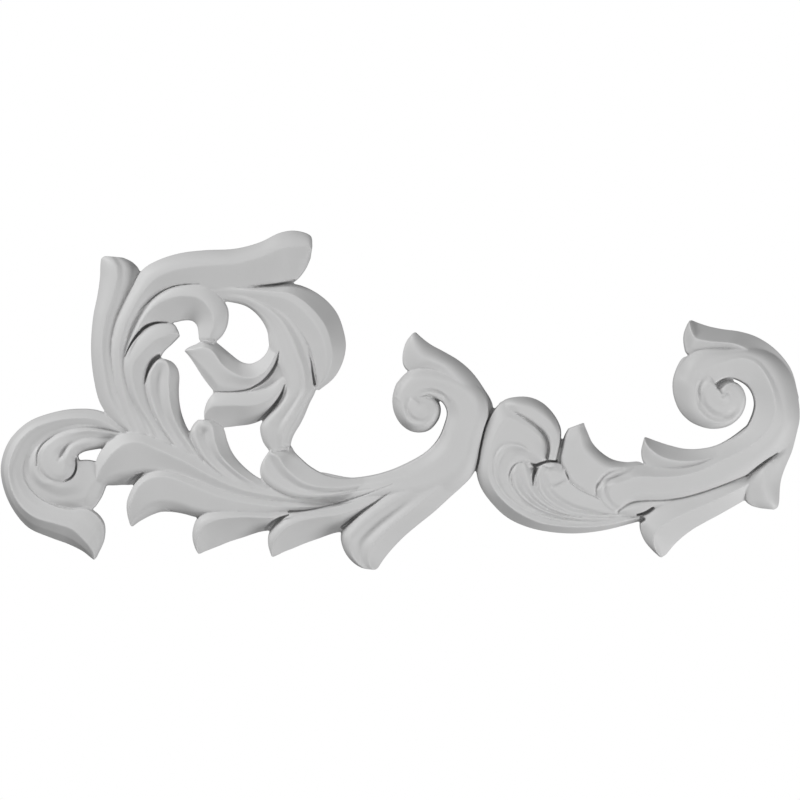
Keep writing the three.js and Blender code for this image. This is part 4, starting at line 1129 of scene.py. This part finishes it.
def primer_finish(settings):
    """Smooth sprayed primer: a faint cloudiness, painted shade in the creases, painted highlights on the
    ridges and fine orange peel.
    """
    made, build = new_material("Primer")
    cloud = build.noise(CLOUDS_PER_METRE, 3.0)
    peel = build.noise(1 / settings.grit, 2.0)
    # Painted shade and highlight: the primer is darkened where the surface is hollow and lightened where it
    # is pointed, as light would fall there.
    pointed = build.add("ShaderNodeNewGeometry", output="Pointiness")
    painted_light_mask = build.add(
        "ShaderNodeMapRange", None, {"Value": pointed, "From Min": CREASE, "From Max": RIDGE}
    )
    clouded = build.mix(cloud, *shades(settings.colour, CLOUD_TONES))
    # The primer in its painted shade and painted highlight tones, later mixed half and half with the
    # clouded primer.
    shaded_and_highlighted = build.mix(painted_light_mask, *shades(settings.colour, SHADE_AND_HIGHLIGHT_TONES))
    bump = build.add(
        "ShaderNodeBump",
        None,
        {"Strength": PEEL_STRENGTH, "Distance": settings.grit / PEEL_WIDTHS, "Height": peel},
    )
    shader = build.add(
        "ShaderNodeBsdfPrincipled",
        None,
        {
            "Base Color": build.mix(0.5, clouded, shaded_and_highlighted),
            "Roughness": settings.roughness - ROUGHNESS_SPREAD / 2 + cloud * ROUGHNESS_SPREAD,
            "Normal": bump,
        },
    )
    build.add("ShaderNodeOutputMaterial", None, {"Surface": shader})
    return made


def floor_finish(colour):
    """Pale matt floor with a faint unevenness."""
    made, build = new_material("Studio floor")
    tone = build.mix(build.noise(FLOOR_CLOUDS_PER_METRE, 2.0), *shades(colour, FLOOR_TONES))
    shader = build.add("ShaderNodeBsdfPrincipled", None, {"Base Color": tone, "Roughness": FLOOR_ROUGHNESS})
    build.add("ShaderNodeOutputMaterial", None, {"Surface": shader})
    return made


class ONLAY_OT_casting(bpy.types.Operator):
    """Carve the onlay as one casting, in its primer"""

    bl_idname = "onlay.casting"
    bl_label = "Carve the Onlay"

    def execute(self, context):
        primer = primer_finish(context.scene.onlay_primer)
        onlay = carve_casting(context.scene.onlay_sizes, primer)
        tidy_casting(onlay)
        onlay.data.materials.clear()
        onlay.data.materials.append(primer)
        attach(onlay, "root")
        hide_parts(NODE)
        return {"FINISHED"}


def soft_light(name, power, width, place):
    """A square light turned to the onlay's middle."""
    lamp = bpy.data.lights.new(name, "AREA")
    lamp.shape = "SQUARE"
    lamp.size = width
    lamp.energy = power
    made = new_object(name, lamp)
    made.location = place
    made.rotation_euler = (Vector() - Vector(place)).to_track_quat("-Z", "Y").to_euler()


def white_surroundings(lighting):
    """White to the camera, and a dimmer grey to everything that it lights."""
    world = bpy.data.worlds.new("Studio")
    bpy.context.scene.world = world
    world.use_nodes = True
    build = Nodes(world.node_tree)
    white = (1, 1, 1, 1)
    lit, seen = (
        build.add("ShaderNodeBackground", None, {"Color": white, "Strength": strength})
        for strength in (lighting, 1.0)
    )
    camera = build.add("ShaderNodeLightPath", output="Is Camera Ray")
    both = build.add("ShaderNodeMixShader", None, {0: camera, 1: lit, 2: seen})
    build.add("ShaderNodeOutputWorld", None, {"Surface": both})


class ONLAY_OT_studio(bpy.types.Operator):
    """Set the floor, the soft lights and the camera"""

    bl_idname = "onlay.studio"
    bl_label = "Set Up the Studio"

    def execute(self, context):
        settings = context.scene.onlay_studio
        half = settings.floor_width / 2
        level = -settings.floor_drop
        mesh = bpy.data.meshes.new("Floor")
        corners = [(-half, -half, level), (half, -half, level), (half, half, level), (-half, half, level)]
        mesh.from_pydata(corners, [], [(0, 1, 2, 3)])
        mesh.materials.append(floor_finish(settings.floor_colour))
        new_object("Floor", mesh)
        white_surroundings(settings.surroundings)
        for light in LIGHTS:
            soft_light(*light)
        lens = bpy.data.cameras.new("Camera")
        camera = new_object("Camera", lens)
        camera.location = (0, -settings.camera_distance, (LOW.z + HIGH.z) / 2)
        camera.rotation_euler = (math.pi / 2, 0, 0)
        frame_width = SHEET * SQUARE
        lens.lens = lens.sensor_width * settings.camera_distance / frame_width
        lens.clip_end = SIGHT * settings.floor_width
        context.scene.camera = camera
        context.scene.view_settings.view_transform = "Standard"
        return {"FINISHED"}


class ONLAY_PT_panel(bpy.types.Panel):
    """Steps and settings of the onlay"""

    bl_idname = "ONLAY_PT_panel"
    bl_label = "Scroll Onlay"
    bl_space_type = "VIEW_3D"
    bl_region_type = "UI"
    bl_category = "Onlay"

    def draw(self, context):
        scene = context.scene
        steps = (
            (ONLAY_OT_casting, scene.onlay_sizes),
            (None, scene.onlay_primer),
            (ONLAY_OT_studio, scene.onlay_studio),
        )
        for step, settings in steps:
            box = self.layout.box()
            if step:
                box.operator(step.bl_idname)
            for name in settings.__annotations__:
                box.prop(settings, name)


CLASSES = (
    OnlaySizes,
    PrimerSettings,
    StudioSettings,
    ONLAY_OT_casting,
    ONLAY_OT_studio,
    ONLAY_PT_panel,
)


def register():
    for each in CLASSES:
        bpy.utils.register_class(each)
    bpy.types.Scene.onlay_sizes = PointerProperty(type=OnlaySizes)
    bpy.types.Scene.onlay_primer = PointerProperty(type=PrimerSettings)
    bpy.types.Scene.onlay_studio = PointerProperty(type=StudioSettings)


def unregister():
    del bpy.types.Scene.onlay_studio
    del bpy.types.Scene.onlay_primer
    del bpy.types.Scene.onlay_sizes
    for each in reversed(CLASSES):
        bpy.utils.unregister_class(each)


def main():
    register()
    bpy.ops.onlay.casting()
    bpy.ops.onlay.studio()


if __name__ == "__main__":
    main()
